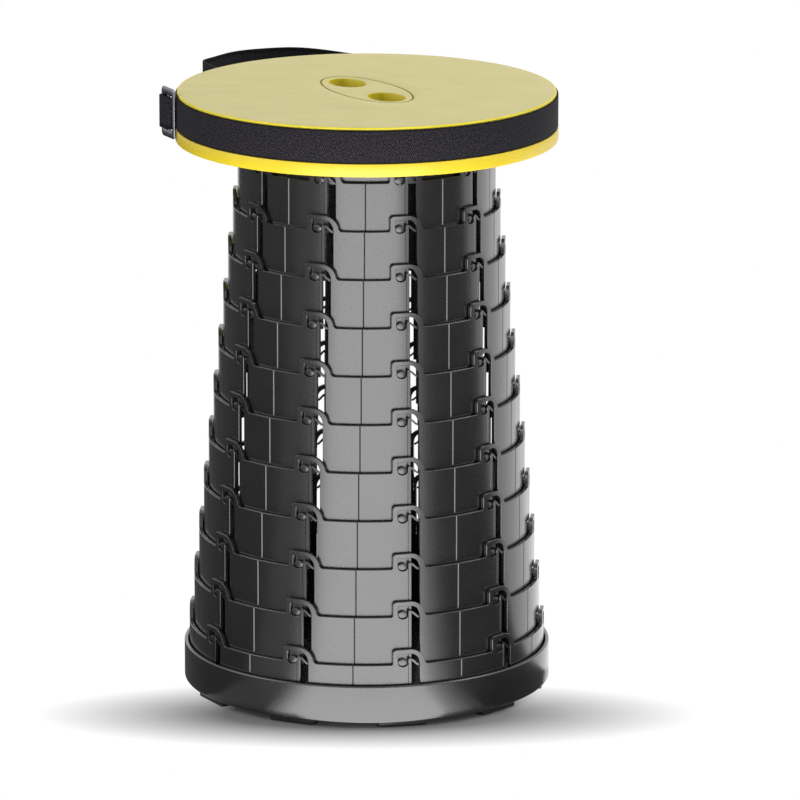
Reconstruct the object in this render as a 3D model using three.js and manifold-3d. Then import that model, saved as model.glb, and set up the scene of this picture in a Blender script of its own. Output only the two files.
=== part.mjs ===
// A collapsible telescopic stool, shown extended.
// Twelve straight-walled plastic rings nest inside each other and climb in equal steps from a
// round base to a round seat. Each ring carries ten pegs low on its outside. A peg sits in a
// pocket of the next larger ring and runs down a blind groove inside that ring's wall when the
// stool is pushed flat. Millimetres, +Z up, the origin on the stool's axis at the base underside.
import * as THREE from "three";
import { mergeVertices } from "three/addons/utils/BufferGeometryUtils.js";
import Module from "manifold-3d";

const wasm = await Module();
wasm.setup();

// Driving dimensions of the telescope
const RING_COUNT = 12; // from the seat ring, number 0, to the base ring
const COLUMN_COUNT = 10; // pegs, pockets and tabs around each ring
const RING_PITCH = 34.94; // how far each ring climbs above the next larger one
const RING_OVERLAP = 2.1; // how far a raised ring still reaches below its neighbour's panels
const BASE_RING_RADIUS = 131.5;
const RING_WALL = 2.6;
const RING_GAP = 1.11; // running gap between two nested rings
const TURN_PER_RING_DEG = 0.38; // each ring is locked this much round from its neighbour
const SEAT_RING_COLUMN_DEG = 17.8; // azimuth of the seat ring's own first column
const FACETS_PER_COLUMN = 3; // flat facets of a ring for each column

// Tab, window, channel and peg of one column, along the ring wall
const TAB_RISE = 11.2; // height of a tab above the panels beside it
const TAB_LEFT_RIM = 3.8;
const TAB_TOP_RIM = 3.2;
const TAB_RIGHT_RIM = 4.2;
const RIB_WIDTH = 2.6; // wall left between the pocket and the channel
const RIB_RISE = 3; // how far that wall stands above the panels beside it
const CHANNEL_WIDTH = 6.2;
const PEG_WIDTH = 7;
const PEG_HEIGHT = 5.4;
const PEG_RISE = 3.5; // peg centre above the bottom of its ring
const PEG_ENGAGEMENT = 1.4; // how far a peg reaches into the wall around it
const PEG_CLEARANCE = 0.3;

// Base tray and its pads
const BASE_FLOOR = 3;
const BASE_LEDGE = 4.9; // height of the ledge that the pushed-down rings land on
const LANDING_CLEARANCE = 0.3; // between that ledge and the rings
const BASE_RIM_HEIGHT = 27.6;
const BASE_WALL = 3;
const BASE_RING_CLEARANCE = 0.8;
const BASE_EDGE = 1.2; // bevel around the underside and the rim
const LEDGE_MARGIN = 4; // how far the ledge reaches inside the smallest ring
const PAD_COUNT = 10;
const PAD_LENGTH = 36;
const PAD_WIDTH = 9;
const PAD_THICKNESS = 4;
const PAD_INSET = 1.5; // from the edge of the underside to the pad
const PAD_AZIMUTH_DEG = 11.4;
const PAD_CORNER = 2;

// Seat cover
const SEAT_PLATE = 2.6;
const COLLAPSED_CLEARANCE = 1.3; // from the tabs to the seat plate when the stool is flat
const SKIRT_WALL = 2.1;
const SKIRT_CLEARANCE = 0.7; // around the base rim when the stool is flat
const SKIRT_FLANGE_HEIGHT = 9.6; // of the band below the strap
const SKIRT_FLANGE_PROUD = 2;
const SEAT_LIP_HEIGHT = 1.6;
const SEAT_LIP_PROUD = 0.5;
const SEAT_EDGE = 0.8;
const STIFFENER_COUNT = 10;
const STIFFENER_WALL = 2.2;
const STIFFENER_DEPTH = 8;
const STIFFENER_RING_RADIUS = 62;
const BOSS_COUNT = 5;
const BOSS_RADIUS = 4.5;
const BOSS_FIRST_AZIMUTH_DEG = 36;
const FLANGE_WIDTH = 17; // from the seat ring's wall inwards
const FLANGE_THICKNESS = 2.8;
const SCREW_RADIUS = 1.7;
const SCREW_CLEARANCE = 0.3;
const SCREW_HEAD_RADIUS = 3.6;
const SCREW_HEAD_HEIGHT = 2.4;
const SCREW_GRIP = 6; // length of the screw inside the boss

// Inlay with the two finger holes
const INLAY_END = 6; // from a finger hole to the end of the inlay
const INLAY_SIDE = 12; // from a finger hole to a long side of the inlay
const INLAY_THICKNESS = 1.4;
const INLAY_CLEARANCE = 0.3;
const INLAY_LEDGE = 2.6; // width of the ledge that the inlay rests on
const INLAY_AZIMUTH_DEG = -61.4; // of its long axis, from +X
const FINGER_HOLE_LENGTH = 35;
const FINGER_HOLE_WIDTH = 25;
const FINGER_HOLE_OFFSET = 30; // from the centre of the inlay
const FINGER_COLLAR_WALL = 1.6; // of the collar that hangs down around each finger hole
const FINGER_COLLAR_DEPTH = 9; // of its lower end below the top of the seat

// Webbing strap, its handle, slider and rivets
const STRAP_WIDTH = 24;
const STRAP_THICKNESS = 1.5;
const STRAP_GAP = 0.3; // between layers of webbing, and from webbing to what it lies on
const HANDLE_START_DEG = 124; // azimuths of the handle run clockwise from the front
const HANDLE_FOLD_START_DEG = 130;
const HANDLE_FOLD_END_DEG = 136;
const HANDLE_RETURN_START_DEG = 156;
const HANDLE_RETURN_END_DEG = 178;
const HANDLE_END_DEG = 186;
const HANDLE_STANDOFF = 30; // of the handle from the band
const RIVET_RADIUS = 4;
const RIVET_HEIGHT = 2;
const RIVET_SPACING = 10;
const RIVET_INSET = 5; // from the end of the handle to the first rivet
const SLIDER_AZIMUTH_DEG = -84;
const SLIDER_HEIGHT = 37;
const SLIDER_LENGTH = 21;
const SLIDER_THICKNESS = 2.2;
const SLIDER_BAR = 3.4; // width of each of its three upright bars
const SLIDER_END_BAR = 4.2;
const SLIDER_CORNER = 2.4;
const SLIDER_TILT_DEG = 21; // its rear end lies on the band and its front end stands off

// Faces of round pieces
const COVER_SEGMENTS = 36;
const ARC_STEPS = 2; // of each quarter arc of a tab
const BOSS_SEGMENTS = 6;
const HANDLE_DIVISIONS = 28;
const TAIL_DIVISIONS = 8;
const SCREW_SEGMENTS = 6;
const PEG_SEGMENTS = 6;
const RIVET_SEGMENTS = 8;
const INLAY_SEGMENTS = 20;
const FINGER_HOLE_SEGMENTS = 12;
const OVERRUN = 1; // how far a cutter passes the face it cuts

// Worked out from the sizes above
const FACETS = COLUMN_COUNT * FACETS_PER_COLUMN;
const FLAT_SHARE = Math.cos(Math.PI / FACETS); // facet distance from the axis over corner radius
const RING_STEP = RING_WALL + RING_GAP;
const PANEL_HEIGHT = RING_PITCH + RING_OVERLAP;
const RING_HEIGHT = PANEL_HEIGHT + TAB_RISE;
const SEAT_RING_HEIGHT = RING_HEIGHT + COLLAPSED_CLEARANCE;
const POCKET_WIDTH = PEG_WIDTH + 2 * PEG_CLEARANCE;
const TAB_WIDTH = TAB_LEFT_RIM + POCKET_WIDTH + RIB_WIDTH + CHANNEL_WIDTH + TAB_RIGHT_RIM;
const TAB_LEFT = -TAB_WIDTH / 2;
const TAB_RIGHT = TAB_WIDTH / 2;
const POCKET_LEFT = TAB_LEFT + TAB_LEFT_RIM;
const POCKET_RIGHT = POCKET_LEFT + POCKET_WIDTH;
const PEG_CENTRE = (POCKET_LEFT + POCKET_RIGHT) / 2;
const CHANNEL_LEFT = POCKET_RIGHT + RIB_WIDTH;
const CHANNEL_RIGHT = CHANNEL_LEFT + CHANNEL_WIDTH;
const POCKET_BOTTOM = RING_PITCH + PEG_RISE - PEG_HEIGHT / 2 - PEG_CLEARANCE;
const GROOVE_DEPTH = PEG_ENGAGEMENT + PEG_CLEARANCE;

const BASE_INNER_RADIUS = BASE_RING_RADIUS + BASE_RING_CLEARANCE;
const BASE_RADIUS = BASE_INNER_RADIUS + BASE_WALL;
const SEAT_LIFT = (RING_COUNT - 1) * RING_PITCH;
const SEAT_RING_RADIUS = BASE_RING_RADIUS - (RING_COUNT - 1) * RING_STEP;
const FLANGE_INNER_RADIUS = SEAT_RING_RADIUS - RING_WALL - FLANGE_WIDTH;
const BOSS_CIRCLE_RADIUS = FLANGE_INNER_RADIUS + FLANGE_WIDTH / 2;
const RING_FLOOR = BASE_LEDGE + LANDING_CLEARANCE; // lowest level of a ring pushed down
const SEAT_PLATE_UNDERSIDE = RING_FLOOR + SEAT_LIFT + SEAT_RING_HEIGHT;
const SEAT_TOP = SEAT_PLATE_UNDERSIDE + SEAT_PLATE;
const INLAY_LENGTH = 2 * (FINGER_HOLE_OFFSET + FINGER_HOLE_LENGTH / 2 + INLAY_END);
const INLAY_WIDTH = FINGER_HOLE_WIDTH + 2 * INLAY_SIDE;
const SKIRT_INNER_RADIUS = BASE_RADIUS + SKIRT_CLEARANCE;
const STRAP_BED_RADIUS = SKIRT_INNER_RADIUS + SKIRT_WALL;
const STRAP_TOP = -SEAT_LIP_HEIGHT - STRAP_GAP; // below the top of the seat
const STRAP_BOTTOM = STRAP_TOP - STRAP_WIDTH;
const SKIRT_HEIGHT = STRAP_GAP + SKIRT_FLANGE_HEIGHT - STRAP_BOTTOM;
const STRAP_INNER_RADIUS = STRAP_BED_RADIUS + STRAP_GAP;
const STRAP_OUTER_RADIUS = STRAP_INNER_RADIUS + STRAP_THICKNESS;

const MATERIALS = {
  black_plastic: { color: 0x353336, roughness: 0.42, metalness: 0 },
  yellow_plastic: { color: 0xf6e53c, roughness: 0.5, metalness: 0 },
  inlay_plastic: { color: 0xd0cb8e, roughness: 0.55, metalness: 0 },
  webbing: { color: 0x232125, roughness: 0.95, metalness: 0 },
  nickel: { color: 0xb9b9bb, roughness: 0.3, metalness: 1 },
  zinc: { color: 0x9a9c9e, roughness: 0.4, metalness: 1 },
  rubber: { color: 0x1d1c1e, roughness: 0.9, metalness: 0 },
};

const radians = THREE.MathUtils.degToRad;

// Solids and booleans

function solidOf(geometry) {
  const bare = geometry.index ? geometry.toNonIndexed() : geometry.clone();
  bare.deleteAttribute("normal");
  bare.deleteAttribute("uv");
  const merged = mergeVertices(bare);
  return new wasm.Manifold(
    new wasm.Mesh({
      numProp: 3,
      vertProperties: merged.attributes.position.array,
      triVerts: new Uint32Array(merged.index.array),
    }),
  );
}

function geometryOf(solid) {
  const mesh = solid.getMesh();
  const geometry = new THREE.BufferGeometry();
  geometry.setAttribute("position", new THREE.BufferAttribute(mesh.vertProperties, 3));
  geometry.setIndex(new THREE.BufferAttribute(mesh.triVerts, 1));
  geometry.computeVertexNormals();
  return geometry;
}

// Forms

// A closed profile of [radius, height] pairs, counter-clockwise, turned round the Z axis.
function turned(profile, segments, startAngle = 0) {
  const points = [...profile, profile[0]].map(([r, z]) => new THREE.Vector2(r, z));
  const onAxis = profile[0][0] === 0;
  const outline = onAxis ? points.slice(0, -1) : points;
  return new THREE.LatheGeometry(outline, segments, startAngle).rotateX(Math.PI / 2);
}

// An outline of [x, y] pairs, pushed up by a depth from a height, with holes if any.
function slab(outline, height, depth, holes = []) {
  const shape = new THREE.Shape(outline.map(([x, y]) => new THREE.Vector2(x, y)));
  for (const hole of holes)
    shape.holes.push(new THREE.Path(hole.map(([x, y]) => new THREE.Vector2(x, y))));
  const options = { depth, bevelEnabled: false, steps: 1 };
  return new THREE.ExtrudeGeometry(shape, options).translate(0, 0, height);
}

// An outline of [along the wall, height] pairs, pushed outwards between two distances from the
// axis, and turned to an azimuth: 0 faces the front, -Y, and +90 degrees faces +X.
function radialPrism(outline, from, to, azimuth = 0) {
  const along = new THREE.Vector3(Math.cos(azimuth), Math.sin(azimuth), 0);
  const outward = new THREE.Vector3(Math.sin(azimuth), -Math.cos(azimuth), 0);
  const up = new THREE.Vector3(0, 0, 1);
  const frame = new THREE.Matrix4().makeBasis(along, up, outward);
  return slab(outline, from, to - from).applyMatrix4(frame);
}

function oval(length, width, centre, sides) {
  return Array.from({ length: sides }, (_, i) => {
    const angle = (2 * Math.PI * (i + 0.5)) / sides;
    return [centre[0] + (length / 2) * Math.cos(angle), centre[1] + (width / 2) * Math.sin(angle)];
  });
}

function aroundAxis(count, make) {
  return Array.from({ length: count }, (_, i) => make((2 * Math.PI * i) / count, i));
}

// Points on a quarter of an ellipse, from its right end up to its top.
function quarterArc(centreX, centreY, radiusX, radiusY) {
  return Array.from({ length: ARC_STEPS + 1 }, (_, i) => {
    const angle = (Math.PI / 2) * (i / ARC_STEPS);
    return [centreX + radiusX * Math.cos(angle), centreY + radiusY * Math.sin(angle)];
  });
}

// A strip of even thickness along a plan curve, standing on edge.
function ribbon(curve, divisions, thickness, height, bottom) {
  const sides = [1, -1].map((side) =>
    Array.from({ length: divisions + 1 }, (_, i) => {
      const point = curve.getPointAt(i / divisions);
      const tangent = curve.getTangentAt(i / divisions);
      const shift = (side * thickness) / 2;
      return [point.x - shift * tangent.y, point.y + shift * tangent.x];
    }),
  );
  return slab([...sides[1], ...sides[0].reverse()], bottom, height);
}

// Rings

function tabOutline() {
  const foot = -RING_OVERLAP;
  return [
    [TAB_LEFT, PANEL_HEIGHT + foot],
    [TAB_RIGHT, PANEL_HEIGHT + foot],
    ...quarterArc(TAB_RIGHT - TAB_RISE, PANEL_HEIGHT, TAB_RISE, TAB_RISE),
    [TAB_LEFT, RING_HEIGHT],
  ];
}

// The pocket, the window above it and the channel that runs down and out of the ring.
function windowOutline(below) {
  const top = TAB_RISE - TAB_TOP_RIM;
  const arcLeft = TAB_RIGHT - TAB_RISE;
  return [
    [CHANNEL_LEFT, -below],
    [CHANNEL_RIGHT, -below],
    ...quarterArc(arcLeft, PANEL_HEIGHT, CHANNEL_RIGHT - arcLeft, top),
    [POCKET_LEFT, PANEL_HEIGHT + top],
    [POCKET_LEFT, POCKET_BOTTOM],
    [POCKET_RIGHT, POCKET_BOTTOM],
    [POCKET_RIGHT, PANEL_HEIGHT + RIB_RISE],
    [CHANNEL_LEFT, PANEL_HEIGHT + RIB_RISE],
  ];
}

function grooveOutline(below) {
  return [
    [POCKET_LEFT, -below],
    [POCKET_RIGHT, -below],
    [POCKET_RIGHT, POCKET_BOTTOM + OVERRUN],
    [POCKET_LEFT, POCKET_BOTTOM + OVERRUN],
  ];
}

function ringTube(radius, height, foot = 0) {
  const inner = radius - RING_WALL;
  const profile = [
    [inner, -foot],
    [radius, -foot],
    [radius, height],
    [inner, height],
  ];
  return solidOf(turned(profile, FACETS, Math.PI / FACETS));
}

// Ten pegs low on the outside of a ring, in line with the pockets of the ring around it.
function withPegs(ring, radius) {
  const flat = radius * FLAT_SHARE;
  const outline = oval(PEG_WIDTH, PEG_HEIGHT, [PEG_CENTRE, PEG_RISE], PEG_SEGMENTS);
  const turn = -radians(TURN_PER_RING_DEG);
  const root = flat - (RING_WALL - GROOVE_DEPTH) / 2;
  const reach = flat + RING_GAP * FLAT_SHARE + PEG_ENGAGEMENT;
  const pegs = aroundAxis(COLUMN_COUNT, (azimuth) =>
    solidOf(radialPrism(outline, root, reach, azimuth + turn)),
  );
  return pegs.reduce((whole, peg) => whole.add(peg), ring);
}

// A ring with its tabs, windows, channels and the grooves for the pegs of the ring inside it.
function openRing(radius, foot) {
  const inside = (radius - RING_WALL) * FLAT_SHARE;
  const outside = radius + OVERRUN;
  const below = foot + OVERRUN;
  const cylinder = [
    [0, -below],
    [outside, -below],
    [outside, PANEL_HEIGHT],
    [0, PANEL_HEIGHT],
  ];
  const columns = (outline, end) =>
    aroundAxis(COLUMN_COUNT, (azimuth) =>
      solidOf(radialPrism(outline, inside - OVERRUN, end, azimuth)),
    ).reduce((whole, one) => whole.add(one));
  const kept = solidOf(turned(cylinder, FACETS)).add(columns(tabOutline(), outside));
  return ringTube(radius, RING_HEIGHT, foot)
    .intersect(kept)
    .subtract(columns(windowOutline(below), outside))
    .subtract(columns(grooveOutline(below), inside + GROOVE_DEPTH));
}

// The seat ring is plain, with a flange inside its top that the seat cover is screwed to.
function seatRing() {
  const radius = SEAT_RING_RADIUS;
  const flangeTop = SEAT_RING_HEIGHT - STIFFENER_DEPTH;
  const flangeBottom = flangeTop - FLANGE_THICKNESS;
  const wallMiddle = radius - RING_WALL / 2;
  const flangeProfile = [
    [FLANGE_INNER_RADIUS, flangeBottom],
    [wallMiddle, flangeBottom],
    [wallMiddle, flangeTop],
    [FLANGE_INNER_RADIUS, flangeTop],
  ];
  const flange = solidOf(turned(flangeProfile, FACETS, Math.PI / FACETS));
  const tube = ringTube(radius, SEAT_RING_HEIGHT).add(flange);
  const hole = SCREW_RADIUS + SCREW_CLEARANCE;
  const depth = FLANGE_THICKNESS + 2 * OVERRUN;
  const holes = screwPlaces(-radians(SEAT_RING_COLUMN_DEG)).map(([x, y]) =>
    solidOf(slab(oval(2 * hole, 2 * hole, [x, y], BOSS_SEGMENTS), flangeBottom - OVERRUN, depth)),
  );
  return withPegs(
    holes.reduce((whole, one) => whole.subtract(one), tube),
    radius,
  );
}

// Base

// The tray's wall and its ledge leave a groove between them that holds the base ring's foot.
function baseTray() {
  const groove = BASE_RING_RADIUS - RING_WALL - BASE_RING_CLEARANCE;
  const ledgeEnd = SEAT_RING_RADIUS - RING_WALL - LEDGE_MARGIN;
  return turned(
    [
      [0, 0],
      [BASE_RADIUS - BASE_EDGE, 0],
      [BASE_RADIUS, BASE_EDGE],
      [BASE_RADIUS, BASE_RIM_HEIGHT - BASE_EDGE],
      [BASE_RADIUS - BASE_EDGE, BASE_RIM_HEIGHT],
      [BASE_INNER_RADIUS, BASE_RIM_HEIGHT],
      [BASE_INNER_RADIUS, BASE_FLOOR],
      [groove, BASE_FLOOR],
      [groove, BASE_LEDGE],
      [ledgeEnd, BASE_LEDGE],
      [ledgeEnd, BASE_FLOOR],
      [0, BASE_FLOOR],
    ],
    COVER_SEGMENTS,
  );
}

function padOutline() {
  const x = PAD_LENGTH / 2;
  const y = PAD_WIDTH / 2;
  return [
    [x - PAD_CORNER, -y],
    [x, -y + PAD_CORNER],
    [x, y - PAD_CORNER],
    [x - PAD_CORNER, y],
    [PAD_CORNER - x, y],
    [-x, y - PAD_CORNER],
    [-x, -y + PAD_CORNER],
    [PAD_CORNER - x, -y],
  ];
}

// Seat, in heights above or below the top of the seat

function screwPlaces(turned = 0) {
  return aroundAxis(BOSS_COUNT, (turn) => {
    const azimuth = turn + turned + radians(BOSS_FIRST_AZIMUTH_DEG);
    const across = BOSS_CIRCLE_RADIUS * Math.sin(azimuth);
    return [across, -BOSS_CIRCLE_RADIUS * Math.cos(azimuth)];
  });
}

function inlayFrame(geometry) {
  return geometry.rotateZ(radians(INLAY_AZIMUTH_DEG));
}

function seatCover() {
  const bandTop = STRAP_TOP + STRAP_GAP;
  const flangeTop = STRAP_BOTTOM - STRAP_GAP;
  const flange = STRAP_BED_RADIUS + SKIRT_FLANGE_PROUD;
  const lip = STRAP_BED_RADIUS + SEAT_LIP_PROUD;
  const shell = turned(
    [
      [0, -SEAT_PLATE],
      [SKIRT_INNER_RADIUS, -SEAT_PLATE],
      [SKIRT_INNER_RADIUS, -SKIRT_HEIGHT],
      [flange - SEAT_EDGE, -SKIRT_HEIGHT],
      [flange, -SKIRT_HEIGHT + SEAT_EDGE],
      [flange, flangeTop],
      [STRAP_BED_RADIUS, flangeTop],
      [STRAP_BED_RADIUS, bandTop],
      [lip, bandTop],
      [lip, -SEAT_EDGE],
      [lip - SEAT_EDGE, 0],
      [0, 0],
    ],
    COVER_SEGMENTS,
  );
  const ribRing = turned(
    [
      [STIFFENER_RING_RADIUS - STIFFENER_WALL, -STIFFENER_DEPTH],
      [STIFFENER_RING_RADIUS, -STIFFENER_DEPTH],
      [STIFFENER_RING_RADIUS, -SEAT_PLATE / 2],
      [STIFFENER_RING_RADIUS - STIFFENER_WALL, -SEAT_PLATE / 2],
    ],
    COVER_SEGMENTS,
  );
  let cover = solidOf(shell).add(solidOf(ribRing));
  const ribOutline = [
    [-STIFFENER_WALL / 2, -STIFFENER_DEPTH],
    [STIFFENER_WALL / 2, -STIFFENER_DEPTH],
    [STIFFENER_WALL / 2, -SEAT_PLATE / 2],
    [-STIFFENER_WALL / 2, -SEAT_PLATE / 2],
  ];
  const ribStart = STIFFENER_RING_RADIUS - STIFFENER_WALL / 2;
  const ribEnd = (SEAT_RING_RADIUS - RING_WALL) * FLAT_SHARE - INLAY_LEDGE;
  aroundAxis(STIFFENER_COUNT, (azimuth) => {
    const half = Math.PI / STIFFENER_COUNT;
    cover = cover.add(solidOf(radialPrism(ribOutline, ribStart, ribEnd, azimuth + half)));
  });
  const bossBottom = -SEAT_PLATE - STIFFENER_DEPTH;
  for (const place of screwPlaces()) {
    const boss = oval(2 * BOSS_RADIUS, 2 * BOSS_RADIUS, place, BOSS_SEGMENTS);
    const bore = 2 * (SCREW_RADIUS + SCREW_CLEARANCE);
    const depth = SCREW_GRIP + SCREW_CLEARANCE + OVERRUN;
    cover = cover
      .add(solidOf(slab(boss, bossBottom, STIFFENER_DEPTH + SEAT_PLATE / 2)))
      .subtract(solidOf(slab(oval(bore, bore, place, BOSS_SEGMENTS), bossBottom - OVERRUN, depth)));
  }
  const seatLength = INLAY_LENGTH + 2 * INLAY_CLEARANCE;
  const seatWidth = INLAY_WIDTH + 2 * INLAY_CLEARANCE;
  const recess = slab(oval(seatLength, seatWidth, [0, 0], INLAY_SEGMENTS), -INLAY_THICKNESS, SEAT_PLATE);
  const through = slab(
    oval(seatLength - 2 * INLAY_LEDGE, seatWidth - 2 * INLAY_LEDGE, [0, 0], INLAY_SEGMENTS),
    -SEAT_PLATE - OVERRUN,
    SEAT_PLATE + 2 * OVERRUN,
  );
  return geometryOf(
    cover.subtract(solidOf(inlayFrame(recess))).subtract(solidOf(inlayFrame(through))),
  );
}

// The inlay's plate, with a collar that hangs down around each finger hole.
function seatInlay() {
  const around = (grown, x) =>
    oval(FINGER_HOLE_LENGTH + grown, FINGER_HOLE_WIDTH + grown, [x, 0], FINGER_HOLE_SEGMENTS);
  const outline = oval(INLAY_LENGTH, INLAY_WIDTH, [0, 0], INLAY_SEGMENTS);
  const collarHeight = FINGER_COLLAR_DEPTH - INLAY_THICKNESS / 2;
  const boreHeight = FINGER_COLLAR_DEPTH + 2 * OVERRUN;
  let inlay = solidOf(slab(outline, -INLAY_THICKNESS, INLAY_THICKNESS));
  for (const x of [-FINGER_HOLE_OFFSET, FINGER_HOLE_OFFSET]) {
    const collar = slab(around(2 * FINGER_COLLAR_WALL, x), -FINGER_COLLAR_DEPTH, collarHeight);
    const bore = slab(around(0, x), -FINGER_COLLAR_DEPTH - OVERRUN, boreHeight);
    inlay = inlay.add(solidOf(collar)).subtract(solidOf(bore));
  }
  return geometryOf(inlay);
}

function screw() {
  return turned(
    [
      [0, -SCREW_HEAD_HEIGHT],
      [SCREW_HEAD_RADIUS, -SCREW_HEAD_HEIGHT],
      [SCREW_HEAD_RADIUS, 0],
      [SCREW_RADIUS, 0],
      [SCREW_RADIUS, FLANGE_THICKNESS + SCREW_GRIP],
      [0, FLANGE_THICKNESS + SCREW_GRIP],
    ],
    SCREW_SEGMENTS,
  );
}

// Strap

function strapBand() {
  return turned(
    [
      [STRAP_INNER_RADIUS, STRAP_BOTTOM],
      [STRAP_OUTER_RADIUS, STRAP_BOTTOM],
      [STRAP_OUTER_RADIUS, STRAP_TOP],
      [STRAP_INNER_RADIUS, STRAP_TOP],
    ],
    COVER_SEGMENTS,
  );
}

// The handle lies on the band at both ends. Between them it folds out, runs round at an even
// distance and comes back smoothly.
class HandleCurve extends THREE.Curve {
  getPoint(share) {
    const degrees = THREE.MathUtils.lerp(HANDLE_START_DEG, HANDLE_END_DEG, share);
    const { smoothstep } = THREE.MathUtils;
    const out = smoothstep(degrees, HANDLE_FOLD_START_DEG, HANDLE_FOLD_END_DEG);
    const back = smoothstep(degrees, HANDLE_RETURN_START_DEG, HANDLE_RETURN_END_DEG);
    const layer = STRAP_OUTER_RADIUS + STRAP_GAP + STRAP_THICKNESS / 2;
    const radius = layer + HANDLE_STANDOFF * (out - back);
    const azimuth = radians(degrees);
    return new THREE.Vector2(-radius * Math.sin(azimuth), -radius * Math.cos(azimuth));
  }
}

function strapHandle() {
  return ribbon(new HandleCurve(), HANDLE_DIVISIONS, STRAP_THICKNESS, STRAP_WIDTH, STRAP_BOTTOM);
}

function rivet() {
  const profile = [
    [0, 0],
    [RIVET_RADIUS, 0],
    [RIVET_RADIUS * Math.cos(Math.PI / 4), RIVET_HEIGHT * Math.sin(Math.PI / 4)],
    [0, RIVET_HEIGHT],
  ];
  return turned(profile, RIVET_SEGMENTS).rotateX(Math.PI / 2);
}

function slider() {
  const length = SLIDER_LENGTH;
  const height = SLIDER_HEIGHT;
  const x = length / 2;
  const y = height / 2;
  const outline = [
    [x - SLIDER_CORNER, -y],
    [x, -y + SLIDER_CORNER],
    [x, y - SLIDER_CORNER],
    [x - SLIDER_CORNER, y],
    [SLIDER_CORNER - x, y],
    [-x, y - SLIDER_CORNER],
    [-x, -y + SLIDER_CORNER],
    [SLIDER_CORNER - x, -y],
  ];
  const slot = (length - 3 * SLIDER_BAR) / 2;
  const slotTop = y - SLIDER_END_BAR;
  const depth = SLIDER_THICKNESS + 2 * OVERRUN;
  let frame = solidOf(slab(outline, -SLIDER_THICKNESS / 2, SLIDER_THICKNESS));
  for (const side of [-1, 1]) {
    const middle = (side * (SLIDER_BAR + slot)) / 2;
    const opening = [
      [middle - slot / 2, -slotTop],
      [middle + slot / 2, -slotTop],
      [middle + slot / 2, slotTop],
      [middle - slot / 2, slotTop],
    ];
    frame = frame.subtract(solidOf(slab(opening, -depth / 2, depth)));
  }
  return geometryOf(frame);
}

// The free end of the webbing comes out through the slider's rear slot, lies over its middle
// bar and goes in again through the front slot.
function strapTail() {
  const slot = (SLIDER_LENGTH - 3 * SLIDER_BAR) / 2;
  const slotCentre = (SLIDER_BAR + slot) / 2;
  const outside = SLIDER_THICKNESS / 2 + STRAP_GAP + STRAP_THICKNESS / 2;
  const inside = SLIDER_THICKNESS / 2 + STRAP_THICKNESS / 2;
  const curve = new THREE.SplineCurve([
    new THREE.Vector2(-slotCentre, -inside),
    new THREE.Vector2(-slotCentre, 0),
    new THREE.Vector2(-SLIDER_BAR / 2, outside),
    new THREE.Vector2(SLIDER_BAR / 2, outside),
    new THREE.Vector2(slotCentre, 0),
    new THREE.Vector2(slotCentre, -inside),
  ]);
  return ribbon(curve, TAIL_DIVISIONS, STRAP_THICKNESS, STRAP_WIDTH, -STRAP_WIDTH / 2);
}

// Assembly

function mesh(name, geometry, finish) {
  const made = new THREE.Mesh(geometry, new THREE.MeshStandardMaterial(MATERIALS[finish]));
  made.name = name;
  return made;
}

function twoDigits(number) {
  return String(number).padStart(2, "0");
}

function baseGroup() {
  const group = new THREE.Group();
  group.add(mesh("base_tray", baseTray(), "black_plastic"));
  const padRadius = BASE_RADIUS * FLAT_SHARE - BASE_EDGE - PAD_INSET - PAD_WIDTH / 2;
  aroundAxis(PAD_COUNT, (turn, i) => {
    const azimuth = turn + radians(PAD_AZIMUTH_DEG);
    const geometry = slab(padOutline(), -PAD_THICKNESS, PAD_THICKNESS);
    const pad = mesh("foot_pad_" + twoDigits(i + 1), geometry, "rubber");
    pad.position.set(padRadius * Math.sin(azimuth), -padRadius * Math.cos(azimuth), 0);
    pad.rotation.z = azimuth;
    group.add(pad);
  });
  return group;
}

function ringGroup() {
  const group = new THREE.Group();
  for (let number = 0; number < RING_COUNT; number++) {
    const radius = SEAT_RING_RADIUS + number * RING_STEP;
    const isSeatRing = number === 0;
    const isBaseRing = number === RING_COUNT - 1;
    const foot = isBaseRing ? RING_FLOOR - BASE_FLOOR : 0;
    const body = isSeatRing ? seatRing() : openRing(radius, foot);
    const whole = isSeatRing || isBaseRing ? body : withPegs(body, radius);
    const name = isSeatRing ? "seat_ring" : isBaseRing ? "base_ring" : "ring_" + twoDigits(number);
    const ring = mesh(name, geometryOf(whole), "black_plastic");
    ring.position.z = RING_FLOOR + (RING_COUNT - 1 - number) * RING_PITCH;
    ring.rotation.z = radians(SEAT_RING_COLUMN_DEG - number * TURN_PER_RING_DEG);
    group.add(ring);
  }
  return group;
}

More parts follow.
